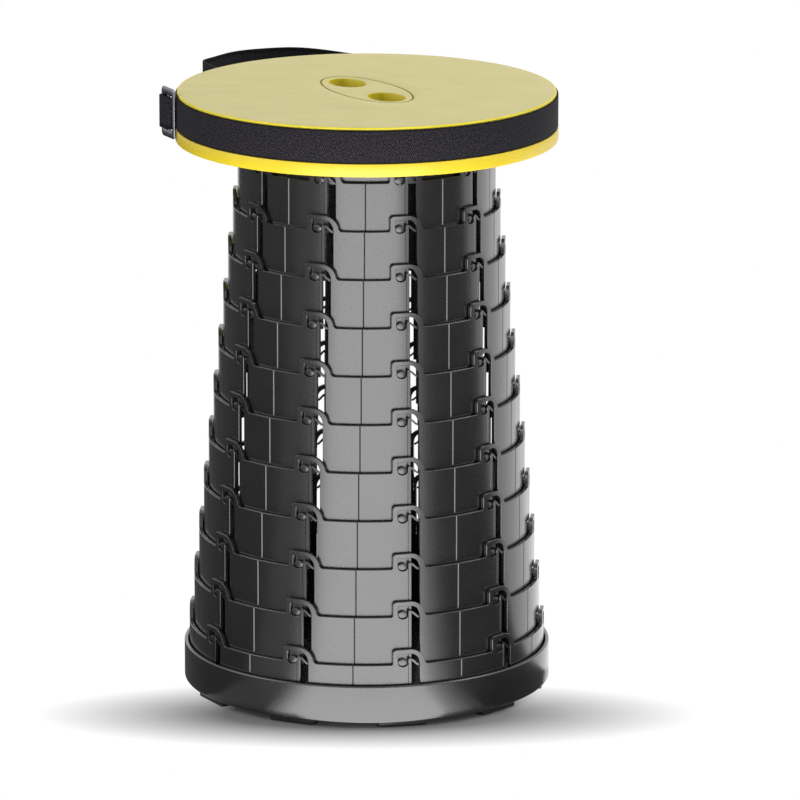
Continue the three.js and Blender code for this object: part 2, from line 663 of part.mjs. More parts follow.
function strapGroup() {
  const group = new THREE.Group();
  group.add(mesh("strap_band", strapBand(), "webbing"));
  group.add(mesh("strap_handle", strapHandle(), "webbing"));
  const rivetFace = STRAP_OUTER_RADIUS + 2 * STRAP_GAP + STRAP_THICKNESS;
  [0, 1].forEach((i) => {
    const arc = (RIVET_INSET + i * RIVET_SPACING) / rivetFace;
    const azimuth = radians(HANDLE_END_DEG) - arc;
    const one = mesh("strap_rivet_" + (i + 1), rivet(), "nickel");
    one.position.set(-rivetFace * Math.sin(azimuth), -rivetFace * Math.cos(azimuth), 0);
    one.position.z = (STRAP_TOP + STRAP_BOTTOM) / 2;
    one.rotation.z = -azimuth;
    group.add(one);
  });
  const holder = new THREE.Group();
  const azimuth = radians(SLIDER_AZIMUTH_DEG);
  const tilt = radians(SLIDER_TILT_DEG);
  const reach = (SLIDER_LENGTH / 2) * Math.sin(tilt) + (SLIDER_THICKNESS / 2) * Math.cos(tilt);
  const radius = STRAP_OUTER_RADIUS + STRAP_GAP + reach;
  holder.position.set(radius * Math.sin(azimuth), -radius * Math.cos(azimuth), 0);
  holder.position.z = (STRAP_TOP + STRAP_BOTTOM) / 2;
  holder.rotation.z = azimuth + tilt;
  const frame = mesh("strap_slider", slider().rotateX(Math.PI / 2), "nickel");
  const tail = mesh("strap_tail", strapTail().rotateZ(Math.PI), "webbing");
  holder.add(frame, tail);
  group.add(holder);
  return group;
}

function seatGroup() {
  const group = new THREE.Group();
  group.position.z = SEAT_TOP;
  group.add(mesh("seat_cover", seatCover(), "yellow_plastic"));
  group.add(mesh("seat_inlay", inlayFrame(seatInlay()), "inlay_plastic"));
  screwPlaces().forEach(([x, y], i) => {
    const one = mesh("seat_screw_" + (i + 1), screw(), "zinc");
    one.position.set(x, y, -SEAT_PLATE - STIFFENER_DEPTH - FLANGE_THICKNESS);
    group.add(one);
  });
  group.add(strapGroup());
  return group;
}

const stool = new THREE.Group();
stool.add(baseGroup(), ringGroup(), seatGroup());

export default stool;
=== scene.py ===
"""Looks of a collapsible telescopic stool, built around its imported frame.

Lengths in the functions are millimetres and angles degrees, unless a name says otherwise.
Azimuth 0 faces the viewer (-Y) and grows towards +X. The mesh maker turns millimetres into metres.
"""

import math

import bpy
import numpy as np
from bpy.props import FloatProperty, FloatVectorProperty, IntProperty, PointerProperty
from bpy.types import Operator, Panel, PropertyGroup
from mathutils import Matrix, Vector


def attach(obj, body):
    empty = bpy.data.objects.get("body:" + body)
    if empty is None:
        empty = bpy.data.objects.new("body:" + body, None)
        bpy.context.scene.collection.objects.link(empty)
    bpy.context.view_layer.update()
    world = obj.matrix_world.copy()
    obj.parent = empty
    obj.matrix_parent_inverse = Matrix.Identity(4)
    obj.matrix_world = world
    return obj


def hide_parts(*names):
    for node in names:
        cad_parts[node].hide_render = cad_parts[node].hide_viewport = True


bl_info = {
    "name": "Telescopic stool",
    "version": (1, 0, 0),
    "blender": (4, 5, 0),
    "location": "3D View > Sidebar > Stool",
    "description": "Builds the visible pieces of a telescopic stool around its frame",
    "category": "Object",
}

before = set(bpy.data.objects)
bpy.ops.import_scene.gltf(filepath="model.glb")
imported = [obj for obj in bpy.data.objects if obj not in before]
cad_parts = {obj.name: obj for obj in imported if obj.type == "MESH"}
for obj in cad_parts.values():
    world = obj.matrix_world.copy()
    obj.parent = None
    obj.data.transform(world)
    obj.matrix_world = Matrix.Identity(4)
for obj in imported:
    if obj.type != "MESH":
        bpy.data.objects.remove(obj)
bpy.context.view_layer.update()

MM = 0.001
COLUMNS = 10
SMALL_SIDES, TINY_SIDES = 32, 28

# The telescope, as the frame has it
RING_COUNT = 12
RING_PITCH = 34.94
RING_OVERLAP = 2.1
PANEL_HEIGHT = RING_PITCH + RING_OVERLAP
RING_STEP = 3.71
RING_GAP = 1.11
SEAT_RING_RADIUS = 90.69
RING_FLOOR = 5.2
BASE_RING_FOOT = 2.2
TURN_PER_RING = 0.38
SEAT_RING_COLUMN = 17.8
TAB_LEFT, TAB_RIGHT, TAB_RISE = -12.2, 12.2, 11.2
POCKET_LEFT, POCKET_RIGHT, POCKET_DEPTH = -8.4, -0.8, 3.0
CHANNEL_LEFT, CHANNEL_RIGHT, WINDOW_TOP = 1.8, 8.0, 8.0
PEG_U, PEG_V = -4.6, 1.4  # from the tab's middle and from the panel's top
PEG_LONG, PEG_SHORT, PEG_RISE, PEG_ENGAGEMENT, PEG_ROOT = 3.5, 2.7, 3.5, 1.4, 1.0

# The base
BASE_RADIUS, BASE_INNER, BASE_RIM, BASE_EDGE = 135.3, 132.3, 27.6, 1.3
BASE_FLOOR, BASE_LEDGE, LEDGE_OUTER, LEDGE_INNER = 3.0, 4.9, 128.1, 84.1
PAD_LENGTH, PAD_WIDTH, PAD_THICKNESS, PAD_CORNER, PAD_BEVEL = 36.0, 9.0, 4.0, 2.0, 0.4
PAD_CIRCLE, PAD_AZIMUTH = 127.36, 11.4

# The seat
SEAT_TOP, SEAT_PLATE = 441.68, 2.6
SEAT_UNDER = SEAT_TOP - SEAT_PLATE
LIP_RADIUS, LIP_HEIGHT = 138.6, 1.6
STRAP_BED, STRAP_BED_BOTTOM = 138.1, 415.48
FLANGE_RADIUS, SKIRT_INNER, SKIRT_BOTTOM = 140.1, 136.0, 405.88
INLAY_TURN = -61.4
INLAY_LONG, INLAY_SHORT, INLAY_THICKNESS = 53.5, 24.5, 1.4
INLAY_GAP, INLAY_LEDGE = 0.6, 2.6
COLLAR_WALL, COLLAR_DEPTH = 1.6, 9.0
HOLE_LONG, HOLE_SHORT, HOLE_OFFSET = 17.5, 12.5, 30.0
SCREW_CIRCLE, SCREW_FIRST, SCREW_COUNT = 79.59, 36.0, 5
FLANGE_TOP, FLANGE_THICKNESS, RING_FLANGE_INNER = 431.08, 2.8, 71.09
FLANGE_UNDER = FLANGE_TOP - FLANGE_THICKNESS
# below the plate: its hoop, bosses and beams, which end a little inside it
HOOP_OUTER, HOOP_INNER, BOSS_RADIUS, BOSS_HOLE = 62.0, 59.8, 4.5, 2.0
BEAM_WIDTH, BEAM_FROM, BEAM_TO = 2.2, 60.9, 85.0
BEAM_LOW, BEAM_HIGH, BOSS_LOW = SEAT_TOP - 8.0, SEAT_TOP - 1.3, SEAT_UNDER - 8.0
RIB_EDGE = 0.4

# The strap
STRAP_INNER, STRAP_THICKNESS, STRAP_CORNER = 138.4, 1.5, 0.55
STRAP_BOTTOM, STRAP_TOP = 415.78, 439.78
STRAP_WIDTH, STRAP_MIDDLE = STRAP_TOP - STRAP_BOTTOM, (STRAP_TOP + STRAP_BOTTOM) / 2
# round the webbing's section, from one middle of an edge to the other, and where the first lies
FACE_SPAN = STRAP_WIDTH + STRAP_THICKNESS - (4 - math.pi) * STRAP_CORNER
EDGE_MIDDLE = math.pi / 2 * STRAP_CORNER + STRAP_THICKNESS / 2 - STRAP_CORNER
LAYER_GAP = 0.3
HANDLE_TURNS = (122.5, 128.5, 135.5, 160.0, 181.0, 186.0)
HANDLE_STANDOFF, HANDLE_BELLY, HANDLE_MIDDLE, HANDLE_RISE = 33.0, 8.5, 149.0, 0.6
SLIDER_AZIMUTH, SLIDER_TILT = -84.0, 21.0
SLIDER_LENGTH, SLIDER_HEIGHT, SLIDER_THICKNESS = 21.0, 37.0, 2.2
SLIDER_BAR, SLIDER_END_BAR = 3.4, 5.8
RIVET_RADIUS, RIVET_HEIGHT, RIVET_SPACING, RIVET_INSET = 4.0, 2.0, 10.0, 5.0


# Surfaces: each is a dict of points (n, 3), quads (m, 4), uv (m, 4, 2) and finish (m,)


def together(*parts):
    """The parts side by side on a new last axis, each stretched to fit the others."""
    return np.stack(np.broadcast_arrays(*parts), axis=-1)


def surface(points, quads, uv=None, finish=0):
    """One closed surface. Points come as any (..., 3) array; it is turned to face outwards."""
    points = np.asarray(points, float).reshape(-1, 3)
    quads = np.asarray(quads).reshape(-1, 4)
    uv = np.zeros((len(quads), 4, 2)) if uv is None else uv
    finish = np.broadcast_to(finish, len(quads)).astype(int)
    a, b, c, d = (points[quads[:, k]] for k in range(4))
    volume = np.einsum("ij,ij->", a, np.cross(b, c)) + np.einsum("ij,ij->", a, np.cross(c, d))
    if volume < 0:
        quads, uv = quads[:, ::-1], uv[:, ::-1]
    return {"points": points, "quads": quads, "uv": uv, "finish": finish}


def grid_quads(rows, columns, close_rows=False, close_columns=False):
    """The quads of a grid of points held row by row, closed round either way if asked."""
    i = np.arange(rows if close_rows else rows - 1)[:, None]
    j = np.arange(columns if close_columns else columns - 1)[None, :]
    i2, j2 = (i + 1) % rows, (j + 1) % columns
    corners = (i * columns + j, i * columns + j2, i2 * columns + j2, i2 * columns + j)
    return together(*corners).reshape(-1, 4)


def band_uv(along, across):
    """The uv of a grid's quads, from the lengths at its rows and at its columns."""
    i, j = np.divmod(np.arange((len(along) - 1) * (len(across) - 1)), len(across) - 1)
    u = together(along[i], along[i], along[i + 1], along[i + 1])
    return together(u, together(across[j], across[j + 1], across[j + 1], across[j]))


def lengthwise(points):
    """The length along a line at each of its points."""
    return np.concatenate([[0], np.cumsum(np.linalg.norm(np.diff(points, axis=0), axis=1))])


def around(radius, turn, height):
    """Points (r sin t, -r cos t, z), with the turn in radians."""
    return together(radius * np.sin(turn), -radius * np.cos(turn), height)


def whole_turn(count):
    """Even angles round a whole turn, in radians."""
    return np.linspace(0, 2 * np.pi, count, endpoint=False)


def oval(turns, long, short):
    """Points on an ellipse about the origin, at those angles in radians."""
    return together(long * np.cos(turns), short * np.sin(turns))


def turned(profile, segments, close=False, uv=None):
    """A profile of (radius, height) turned round Z. With close, the profile is a loop. Without,
    it starts and ends on the axis."""
    r, z = np.asarray(profile, float).T
    points = around(r, whole_turn(segments)[:, None], z)
    return surface(points, grid_quads(segments, len(r), True, close), uv)


def carried(loops):
    """Closed loops of points (stations, around, 3) joined in order, with both ends drawn in to
    the middle of their loop. uv runs along the stations and round the loop, in millimetres."""
    loops = np.asarray(loops, float)
    ends = loops[[0, -1]].mean(axis=1, keepdims=True).repeat(loops.shape[1], axis=1)
    points = np.concatenate([ends[:1], loops, ends[1:]])
    middle = loops[len(loops) // 2]
    steps = np.linalg.norm(middle - np.roll(middle, 1, axis=0), axis=1)
    across = np.concatenate([np.cumsum(steps), [steps.sum() + steps[0]]])
    uv = band_uv(lengthwise(points.mean(1)), across)
    return surface(points, grid_quads(*points.shape[:2], False, True), uv)


def stacked(outline, rows, outwards=False):
    """An outline carried through rows of (level, scale). The levels are heights, or with
    outwards, distances from the axis along -Y, for an outline that stands upright."""
    loops = []
    for level, scale in rows:
        x, y = (outline * scale).T
        loops.append(together(x, -level, y) if outwards else together(x, y, level))
    return carried(loops)


def rounded_rectangle(width, height, radius, steps=3):
    """Points round a rectangle whose corners are quarter circles, counter-clockwise."""
    a = np.radians(np.arange(4)[:, None] * 90 + np.linspace(0, 90, steps + 1))
    x = (width / 2 - radius) * np.array([1, -1, -1, 1])[:, None] + radius * np.cos(a)
    y = (height / 2 - radius) * np.array([1, 1, -1, -1])[:, None] + radius * np.sin(a)
    return together(x, y).reshape(-1, 2)


def soft_corners(profile, radius, steps=3, closed=True):
    """A profile with every corner replaced by a short curve: a quadratic from a point radius
    before the corner, or a third of the edge where that is shorter, to one as far after it."""
    p = np.asarray(profile, float)
    before, after = np.roll(p, 1, axis=0) - p, np.roll(p, -1, axis=0) - p
    cut = [np.linalg.norm(e, axis=1, keepdims=True) for e in (before, after)]
    start, end = (p + e / n * np.minimum(radius, n / 3) for e, n in zip((before, after), cut))
    t = np.linspace(0, 1, steps + 1)[None, :, None]
    s, c, e = start[:, None], p[:, None], end[:, None]
    curves = (1 - t) ** 2 * s + 2 * t * (1 - t) * c + t**2 * e
    if closed:
        return curves.reshape(-1, 2)
    return np.concatenate([p[:1], curves[1:-1].reshape(-1, 2), p[-1:]])


def placed(one, azimuth=0.0, radius=0.0, height=0.0, tilt=0.0):
    """The surface with its own -Y turned to the azimuth (and on by the tilt, about its own
    upright middle), moved out by the radius and up by the height."""
    turn, middle = math.radians(azimuth + tilt), math.radians(azimuth)
    cos, sin = math.cos(turn), math.sin(turn)
    x, y, z = one["points"].T
    px = x * cos - y * sin + radius * math.sin(middle)
    py = x * sin + y * cos - radius * math.cos(middle)
    return {**one, "points": together(px, py, z + height)}


def spread(one, count, first=0.0, radius=0.0, height=0.0):
    """Copies of a surface at even steps round the axis, from the first azimuth on."""
    return [placed(one, first + 360 / count * k, radius, height) for k in range(count)]


def shifted(parts, turn, height):
    """Parts turned about the stool's axis and lifted."""
    return [placed(part, turn, 0, height) for part in parts]


def welded(points):
    """Which points to keep where some fall together, and which of those each point becomes."""
    _, first, where = np.unique(points.round(4), axis=0, return_index=True, return_inverse=True)
    return first, where.reshape(-1)


def put(name, data):
    """A new object with that data, in the scene."""
    item = bpy.data.objects.new(name, data)
    bpy.context.scene.collection.objects.link(item)
    return item


SHARP_ANGLE = 32


def make_piece(node, parts, body, slot, kinds, suffix="_shell"):
    """Welds each part, makes one mesh of them all, in the node's place, and rides it on its
    body. Corners of a quad that fall together are dropped, so one at a pole is a triangle."""
    points, quads, uvs, finishes, total = [], [], [], [], 0
    for part in parts:
        first, where = welded(part["points"])
        points.append(part["points"][first])
        quads.append(where[part["quads"]] + total)
        uvs.append(part["uv"])
        finishes.append(part["finish"])
        total += len(first)
    quads, uvs, finishes = (np.concatenate(x) for x in (quads, uvs, finishes))
    kept = quads != np.roll(quads, -1, axis=1)
    real = kept.sum(axis=1) > 2
    quads, uvs, finishes, kept = quads[real], uvs[real], finishes[real], kept[real]
    counts = kept.sum(axis=1)
    name = node + suffix
    mesh = bpy.data.meshes.new(name)
    mesh.vertices.add(total)
    mesh.vertices.foreach_set("co", (np.concatenate(points) * MM).astype(np.float32).ravel())
    mesh.loops.add(int(counts.sum()))
    mesh.loops.foreach_set("vertex_index", quads[kept].astype(np.int32))
    mesh.polygons.add(len(quads))
    mesh.polygons.foreach_set("loop_start", (np.cumsum(counts) - counts).astype(np.int32))
    mesh.polygons.foreach_set("use_smooth", np.ones(len(quads), bool))
    mesh.polygons.foreach_set("material_index", finishes.astype(np.int32))
    mesh.uv_layers.new(name="Surface").data.foreach_set("uv", (uvs[kept] * MM).ravel())
    mesh.update(calc_edges=True)
    mesh.set_sharp_from_angle(angle=math.radians(SHARP_ANGLE))
    if mesh.validate():
        raise RuntimeError(f"{name} had faces that Blender had to mend")
    for kind in kinds:
        mesh.materials.append(material_for(kind))
    piece = put(name, mesh)
    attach(piece, body)
    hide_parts(node)


def make_each(nodes, parts, *rest):
    """Makes a piece of each part. The nodes are numbered from 1."""
    for number, part in enumerate(parts, 1):
        make_piece(nodes.format(number), [part], *rest)


# Materials

WHITE = (1, 1, 1, 1)


def components(number):
    """The sRGB components of a hex number."""
    return [(number >> shift & 255) / 255 for shift in (16, 8, 0)]


def linear(colour):
    """A linear RGBA colour from sRGB components or a hex number."""
    c = np.asarray(components(colour) if isinstance(colour, int) else colour[:3], float)
    return (*np.where(c <= 0.04045, c / 12.92, ((c + 0.055) / 1.055) ** 2.4), 1.0)


def add(tree, kind, inputs=None, **settings):
    """Adds a node, sets it up, and sets or links its inputs. Returns the node."""
    node = tree.nodes.new(kind)
    for key, value in settings.items():
        setattr(node, key, value)
    for key, value in (inputs or {}).items():
        if isinstance(value, bpy.types.NodeSocket):
            tree.links.new(value, node.inputs[key])
        else:
            node.inputs[key].default_value = value
    return node


def calculated(tree, operation, *values):
    """The socket of a Math node on sockets or numbers."""
    return add(tree, "ShaderNodeMath", dict(enumerate(values)), operation=operation).outputs[0]


def ranged(tree, value, low, high, start=0.0, end=1.0):
    """The socket of a value that goes from start to end while the given one goes low to high."""
    inputs = {0: value, 1: low, 2: high, 3: start, 4: end}
    return add(tree, "ShaderNodeMapRange", inputs).outputs[0]


def noise(tree, place, scale, detail, roughness=0.5):
    inputs = {"Vector": place, "Scale": scale, "Detail": detail, "Roughness": roughness}
    return add(tree, "ShaderNodeTexNoise", inputs).outputs[0]


def stretched(tree, place, scale, shift=(0.0, 0.0, 0.0)):
    inputs = {"Vector": place, "Location": shift, "Scale": scale}
    return add(tree, "ShaderNodeMapping", inputs).outputs[0]


def tinted(tree, share, first, second):
    """The socket of a mix of two colours. The node's colour sockets are its last."""
    inputs = {"Factor": share, 6: linear(first), 7: linear(second)}
    return add(tree, "ShaderNodeMix", inputs, data_type="RGBA").outputs[2]


def bumped(tree, height, depth_mm):
    inputs = {"Height": height, "Strength": 1.0, "Distance": depth_mm * MM}
    return add(tree, "ShaderNodeBump", inputs).outputs[0]


def either(tree, share, first, second):
    """The socket of a mix of two shaders."""
    return add(tree, "ShaderNodeMixShader", {0: share, 1: first, 2: second}).outputs[0]


def glowing(tree, strength):
    return add(tree, "ShaderNodeEmission", {"Color": WHITE, "Strength": strength}).outputs[0]


def principled(tree, inputs):
    return add(tree, "ShaderNodeBsdfPrincipled", inputs).outputs[0]


def new_material(name):
    """An empty material and its tree."""
    material = bpy.data.materials.new(name)
    material.use_nodes = True
    material.node_tree.nodes.clear()
    return material, material.node_tree


def show(tree, shader):
    add(tree, "ShaderNodeOutputMaterial", {"Surface": shader})


CLOUD_SCALE, CLOUD_SPAN, GRAIN_SPAN = 35.0, (0.75, 1.25), (0.3, 0.7)
BRUSH_SCALE, BRUSH_SPAN = (12.0, 260.0, 260.0), (0.35, 0.65)


def grained(name, colour, shade, roughness, vary, grain_mm, depth_mm, streaks=0.0, gloss=()):
    """Moulded plastic. A cloudy noise shifts the colour towards a shade, and a fine one gives
    the grain, the size and depth of which are real sizes in millimetres."""
    material, tree = new_material(name)
    place = add(tree, "ShaderNodeTexCoord").outputs["Object"]
    grain = noise(tree, place, 1000 / grain_mm, 3.0, 0.6)
    cloud = calculated(tree, "ADD", noise(tree, place, CLOUD_SCALE, 4.0), grain)
    share = ranged(tree, cloud, *CLOUD_SPAN)
    if streaks:
        # long thin marks along X, as a brushed mould leaves them
        lines = noise(tree, stretched(tree, place, BRUSH_SCALE), 1.0, 2.0)
        inputs = {"Factor": streaks, "A": share, "B": ranged(tree, lines, *BRUSH_SPAN)}
        share = add(tree, "ShaderNodeMix", inputs).outputs[0]
    inputs = {
        "Base Color": tinted(tree, share, colour, shade),
        "Roughness": ranged(tree, grain, *GRAIN_SPAN, roughness - vary, roughness + vary),
        "Normal": bumped(tree, grain, depth_mm),
        "IOR": 1.5,
    }
    show(tree, principled(tree, {**inputs, **dict(gloss)}))
    return material


WEAVE_SHARE, FUZZ_SCALE, PAINTED_GLINT_SPAN = 0.12, 800.0, (0.42, 0.68)
EDGE_SHADE_FULL, EDGE_SHADE_END = 0.8, 1.8


def woven(name, colour, thread):
    """Polypropylene webbing. Warp ribs run along it and the weft crosses them; raised threads get a
    lighter colour, a painted sheen in small dashes. The pattern reads the piece's own uv, in
    metres."""
    material, tree = new_material(name)
    uv = add(tree, "ShaderNodeUVMap", uv_map="Surface").outputs[0]
    split = add(tree, "ShaderNodeSeparateXYZ", {0: uv}).outputs
    strap = bpy.context.scene.stool_strap
    waves = [
        calculated(tree, "SINE", calculated(tree, "MULTIPLY", split[axis], rate / strap.thread))
        for axis, rate in ((0, math.tau), (1, math.pi))
    ]
    weave = calculated(tree, "MULTIPLY", *waves)
    fuzz = noise(tree, uv, FUZZ_SCALE, 2.0, 0.6)
    height = calculated(tree, "MULTIPLY_ADD", weave, WEAVE_SHARE, fuzz)
    # near the ends of each face of the section the webbing stays dark and loses its glints: painted
    # shade along its edges
    past = calculated(tree, "SUBTRACT", split[1], EDGE_MIDDLE * MM)
    inset = calculated(tree, "PINGPONG", past, FACE_SPAN / 2 * MM)
    face = ranged(tree, inset, EDGE_SHADE_FULL * MM, EDGE_SHADE_END * MM)
    # the lighter thread colour on the raised threads is a painted glint
    share = calculated(tree, "MULTIPLY", ranged(tree, height, *PAINTED_GLINT_SPAN), face)
    inputs = {
        "Base Color": tinted(tree, share, colour, thread),
        "Normal": bumped(tree, height, strap.relief / MM),
        "Roughness": 0.8,
        # threads scatter most of the gloss that a smooth face would have
        "Specular IOR Level": 0.12,
    }
    show(tree, principled(tree, inputs))
    return material


SCRATCH_STRETCH, SCRATCH_DEPTH, SMOOTHER, ROUGHER = (1.0, 1.0, 0.15), 0.02, 0.08, 0.1


def plated(name, colour, roughness, scratch_mm):
    """Plated steel. Fine scratches vary the roughness, so highlights are soft-edged."""
    material, tree = new_material(name)
    place = add(tree, "ShaderNodeTexCoord").outputs["Object"]
    lines = noise(tree, stretched(tree, place, SCRATCH_STRETCH), 1000 / scratch_mm, 4.0)
    ends = roughness - SMOOTHER, roughness + ROUGHER
    inputs = {
        "Base Color": linear(colour),
        "Metallic": 1.0,
        "Roughness": ranged(tree, lines, *GRAIN_SPAN, *ends),
        "Normal": bumped(tree, lines, SCRATCH_DEPTH),
    }
    show(tree, principled(tree, inputs))
    return material


# the resin-rich skin of the nylon moulding is glossier than the filled plastic below it
SKIN = {"IOR": 1.58, "Coat Weight": 0.35, "Coat Roughness": 0.18}
# each kind's function and name, its colour (a setting or a number) and the function's values
RECIPES = {
    # glass-filled nylon, moulded: dark, a broad soft highlight, a faint cloudiness
    "nylon": (grained, "Moulded black nylon", "rings", 0x161517, 0.25, 0.04, 1.2, 0.005, 0, SKIN),
    # polypropylene, moulded in a polished tool: clear colour, a soft gloss
    "yellow": (grained, "Moulded yellow polypropylene", "skirt", 0xD6BD24, 0.4, 0.04, 1.4, 0.01),
    # polypropylene with a fine spark-eroded grain: matt and slightly mottled
    "pale": (grained, "Grained pale polypropylene", "seat", 0xC7BE82, 0.62, 0.06, 1.6, 0.035, 0.35),
    # the same plastic, ungrained and brighter: the walls of the finger holes, and the lip above the
    # strap, where the brighter yellow is painted light
    "collar": (grained, "Shaded yellow polypropylene", "collars", 0xDCCA26, 0.5, 0.05, 1.4, 0.01),
    # the same again in the groove round the inlay: dark olive and matt, painted shade of the narrow
    # gap
    "groove": (grained, "Dusty olive polypropylene", 0xA09224, 0x8A7E1C, 0.7, 0.05, 1.4, 0.01),
    # polypropylene webbing: near black, with painted glints on the threads
    "webbing": (woven, "Woven black webbing", "webbing", 0x343137),
    # nickel plate on steel, with soft-edged reflections; its colour is kept dark, painted shade for
    # the dark surroundings it mirrors
    "nickel": (plated, "Nickel plated steel", "nickel", 0.28, 0.8),
    # zinc plate on steel: greyer and duller
    "zinc": (plated, "Zinc plated steel", "zinc", 0.4, 0.8),
    # moulded rubber: dark and quite matt
    "rubber": (grained, "Moulded rubber", "rubber", 0x262527, 0.8, 0.06, 1.2, 0.05),
}
MATERIALS = {}


def material_for(kind):
    """The material of that kind, made when it is first asked for."""
    if kind not in MATERIALS:
        make, name, colour, *values = RECIPES[kind]
        if isinstance(colour, str):
            colour = getattr(bpy.context.scene.stool_colours, colour)
        MATERIALS[kind] = make(name, colour, *values)
    return MATERIALS[kind]


# Settings


def length(name, description, millimetres):
    return FloatProperty(
        name=name, description=description, default=millimetres * MM, unit="LENGTH", precision=5
    )


def colour_property(name, description, number):
    return FloatVectorProperty(
        name=name,
        description=description,
        subtype="COLOR_GAMMA",
        size=3,
        min=0,
        max=1,
        default=components(number),
    )


def brightness(name, where, default):
    return FloatProperty(name=name, description=f"Brightness of {where}", default=default, min=0)


class StoolRingSizes(PropertyGroup):
    wall: length("Wall", "Wall thickness of a ring", 2.6)
    skin: length("Skin", "Wall left outside a peg's groove", 0.9)
    edge: length("Edge", "Bevel along the open edges of a ring", 0.32)
    seam_width: length("Seam width", "Width of the upright seams in the panels", 1.0)
    seam_depth: length("Seam depth", "Depth of the upright seams", 0.45)
    segments: IntProperty(
        name="Segments", description="Sides of the turned pieces", default=240, min=24
    )


class StoolStrapSizes(PropertyGroup):
    thread: length("Thread", "Spacing of the threads, drawn coarse enough to show", 1.5)
    relief: length("Relief", "Height of the weave", 0.25)


class StoolColours(PropertyGroup):
    rings: colour_property("Rings", "Black plastic of the rings and base", 0x1D1C1E)
    skirt: colour_property("Skirt", "Yellow plastic of the seat's edge and skirt", 0xDEC42C)
    seat: colour_property("Seat", "Pale grained top of the seat", 0xD2C98C)
    # the brighter yellow is painted light on the lip; in the finger holes it is the plastic's
    # colour
    collars: colour_property("Finger holes", "Yellow of the finger holes and lip", 0xE8D62A)
    webbing: colour_property("Webbing", "Woven strap", 0x0E0D10)
    # the nickel is darker than bright plate: painted shade for the dark surroundings it mirrors
    nickel: colour_property("Nickel", "Plated slider and rivets", 0x7A797F)
    zinc: colour_property("Zinc", "Plated screws", 0x9A9C9E)
    rubber: colour_property("Rubber", "Foot pads", 0x1D1C1E)


class StoolLightSettings(PropertyGroup):
    front: brightness("Front", "the panel in front", 5.2)
    right: brightness("Right", "the panel on the right", 1.4)
    left: brightness("Left", "the panel on the left", 0.35)
    side: brightness("Side", "the high boxes at both sides", 2.0)
    above: brightness("Above", "the box above", 3.15)
    room: brightness("Room", "the room around", 0.3)


# Rings

RIM_SHARES = np.array([0, 0.08, 0.16, 0.5, 0.84, 0.92, 1])  # across a tab's rim, outside to window
FILLET_RIGHT, FILLET_LEFT = 2.5, 1.0  # hollow curves where a tab meets the panel's top edge
TAB_CORNER, WINDOW_CORNER = 2.8, 1.2
POCKET_ANGLES = [180, 190, 202, 216, 232, 250, 270, 290, 308, 322, 337.1, 350, 360]
# the rib between the pocket and the channel: its uprights, the height of its tip, and its arch
RIB_LINES = [POCKET_RIGHT, -0.5, -0.2, 0.5, 1.2, 1.5, CHANNEL_LEFT]
RIB_TIP, RIB_ARCH = 3.2, 1.6
TONGUE_START, TONGUE_REACH, TONGUE_DROP, TONGUE_STATIONS = (1.3, 3.4), 6.2, 4.0, 15
TONGUE_HALF, TONGUE_FRONT, TONGUE_BACK = 0.7, 0.9, 2.3
PANEL_CELL, SAME = 3.0, 1e-3  # about the length of a panel's cells, and what counts as equal


def arc(centre, radii, start, end, steps):
    """Points on an ellipse from one angle to another."""
    return oval(np.radians(np.linspace(start, end, steps + 1)), *radii) + centre


def line(start, end, steps):
    """Points on a straight line, both ends included."""
    t = np.linspace(0, 1, steps + 1)[:, None]
    return np.asarray(start) * (1 - t) + np.asarray(end) * t


def joined(*runs):
    """Runs of points end to end, each shared end kept once."""
    return np.concatenate([runs[0]] + [run[1:] for run in runs[1:]])


def smoothstep(t):
    return t * t * (3 - 2 * t)


def tab_rim():
    """The grid of a tab's rim, flat: outside outline blended with the window's outline. Both
    rise on the left, turn a corner, run along the top and come down on a quarter curve."""
    centre = TAB_RIGHT - TAB_RISE
    fillet_u = centre + math.sqrt((TAB_RISE + FILLET_RIGHT) ** 2 - FILLET_RIGHT**2)
    meet = math.degrees(math.atan2(FILLET_RIGHT, fillet_u - centre))
    corner = (TAB_LEFT + TAB_CORNER, TAB_RISE - TAB_CORNER)
    outer = joined(
        line((TAB_LEFT, FILLET_LEFT), (TAB_LEFT, corner[1]), 4),
        arc(corner, (TAB_CORNER,) * 2, 180, 90, 6),
        line((corner[0], TAB_RISE), (centre, TAB_RISE), 6),
        arc((centre, 0), (TAB_RISE,) * 2, 90, meet, 20),
    )
    corner = (POCKET_LEFT + WINDOW_CORNER, WINDOW_TOP - WINDOW_CORNER)
    inner = joined(
        line((POCKET_LEFT, PEG_V), (POCKET_LEFT, corner[1]), 4),
        arc(corner, (WINDOW_CORNER,) * 2, 180, 90, 6),
        line((corner[0], WINDOW_TOP), (centre, WINDOW_TOP), 6),
        arc((centre, 0), (CHANNEL_RIGHT - centre, WINDOW_TOP), 90, 0, 20),
    )
    share = RIM_SHARES[None, :, None]
    return outer[:, None] * (1 - share) + inner[:, None] * share, fillet_u, meet


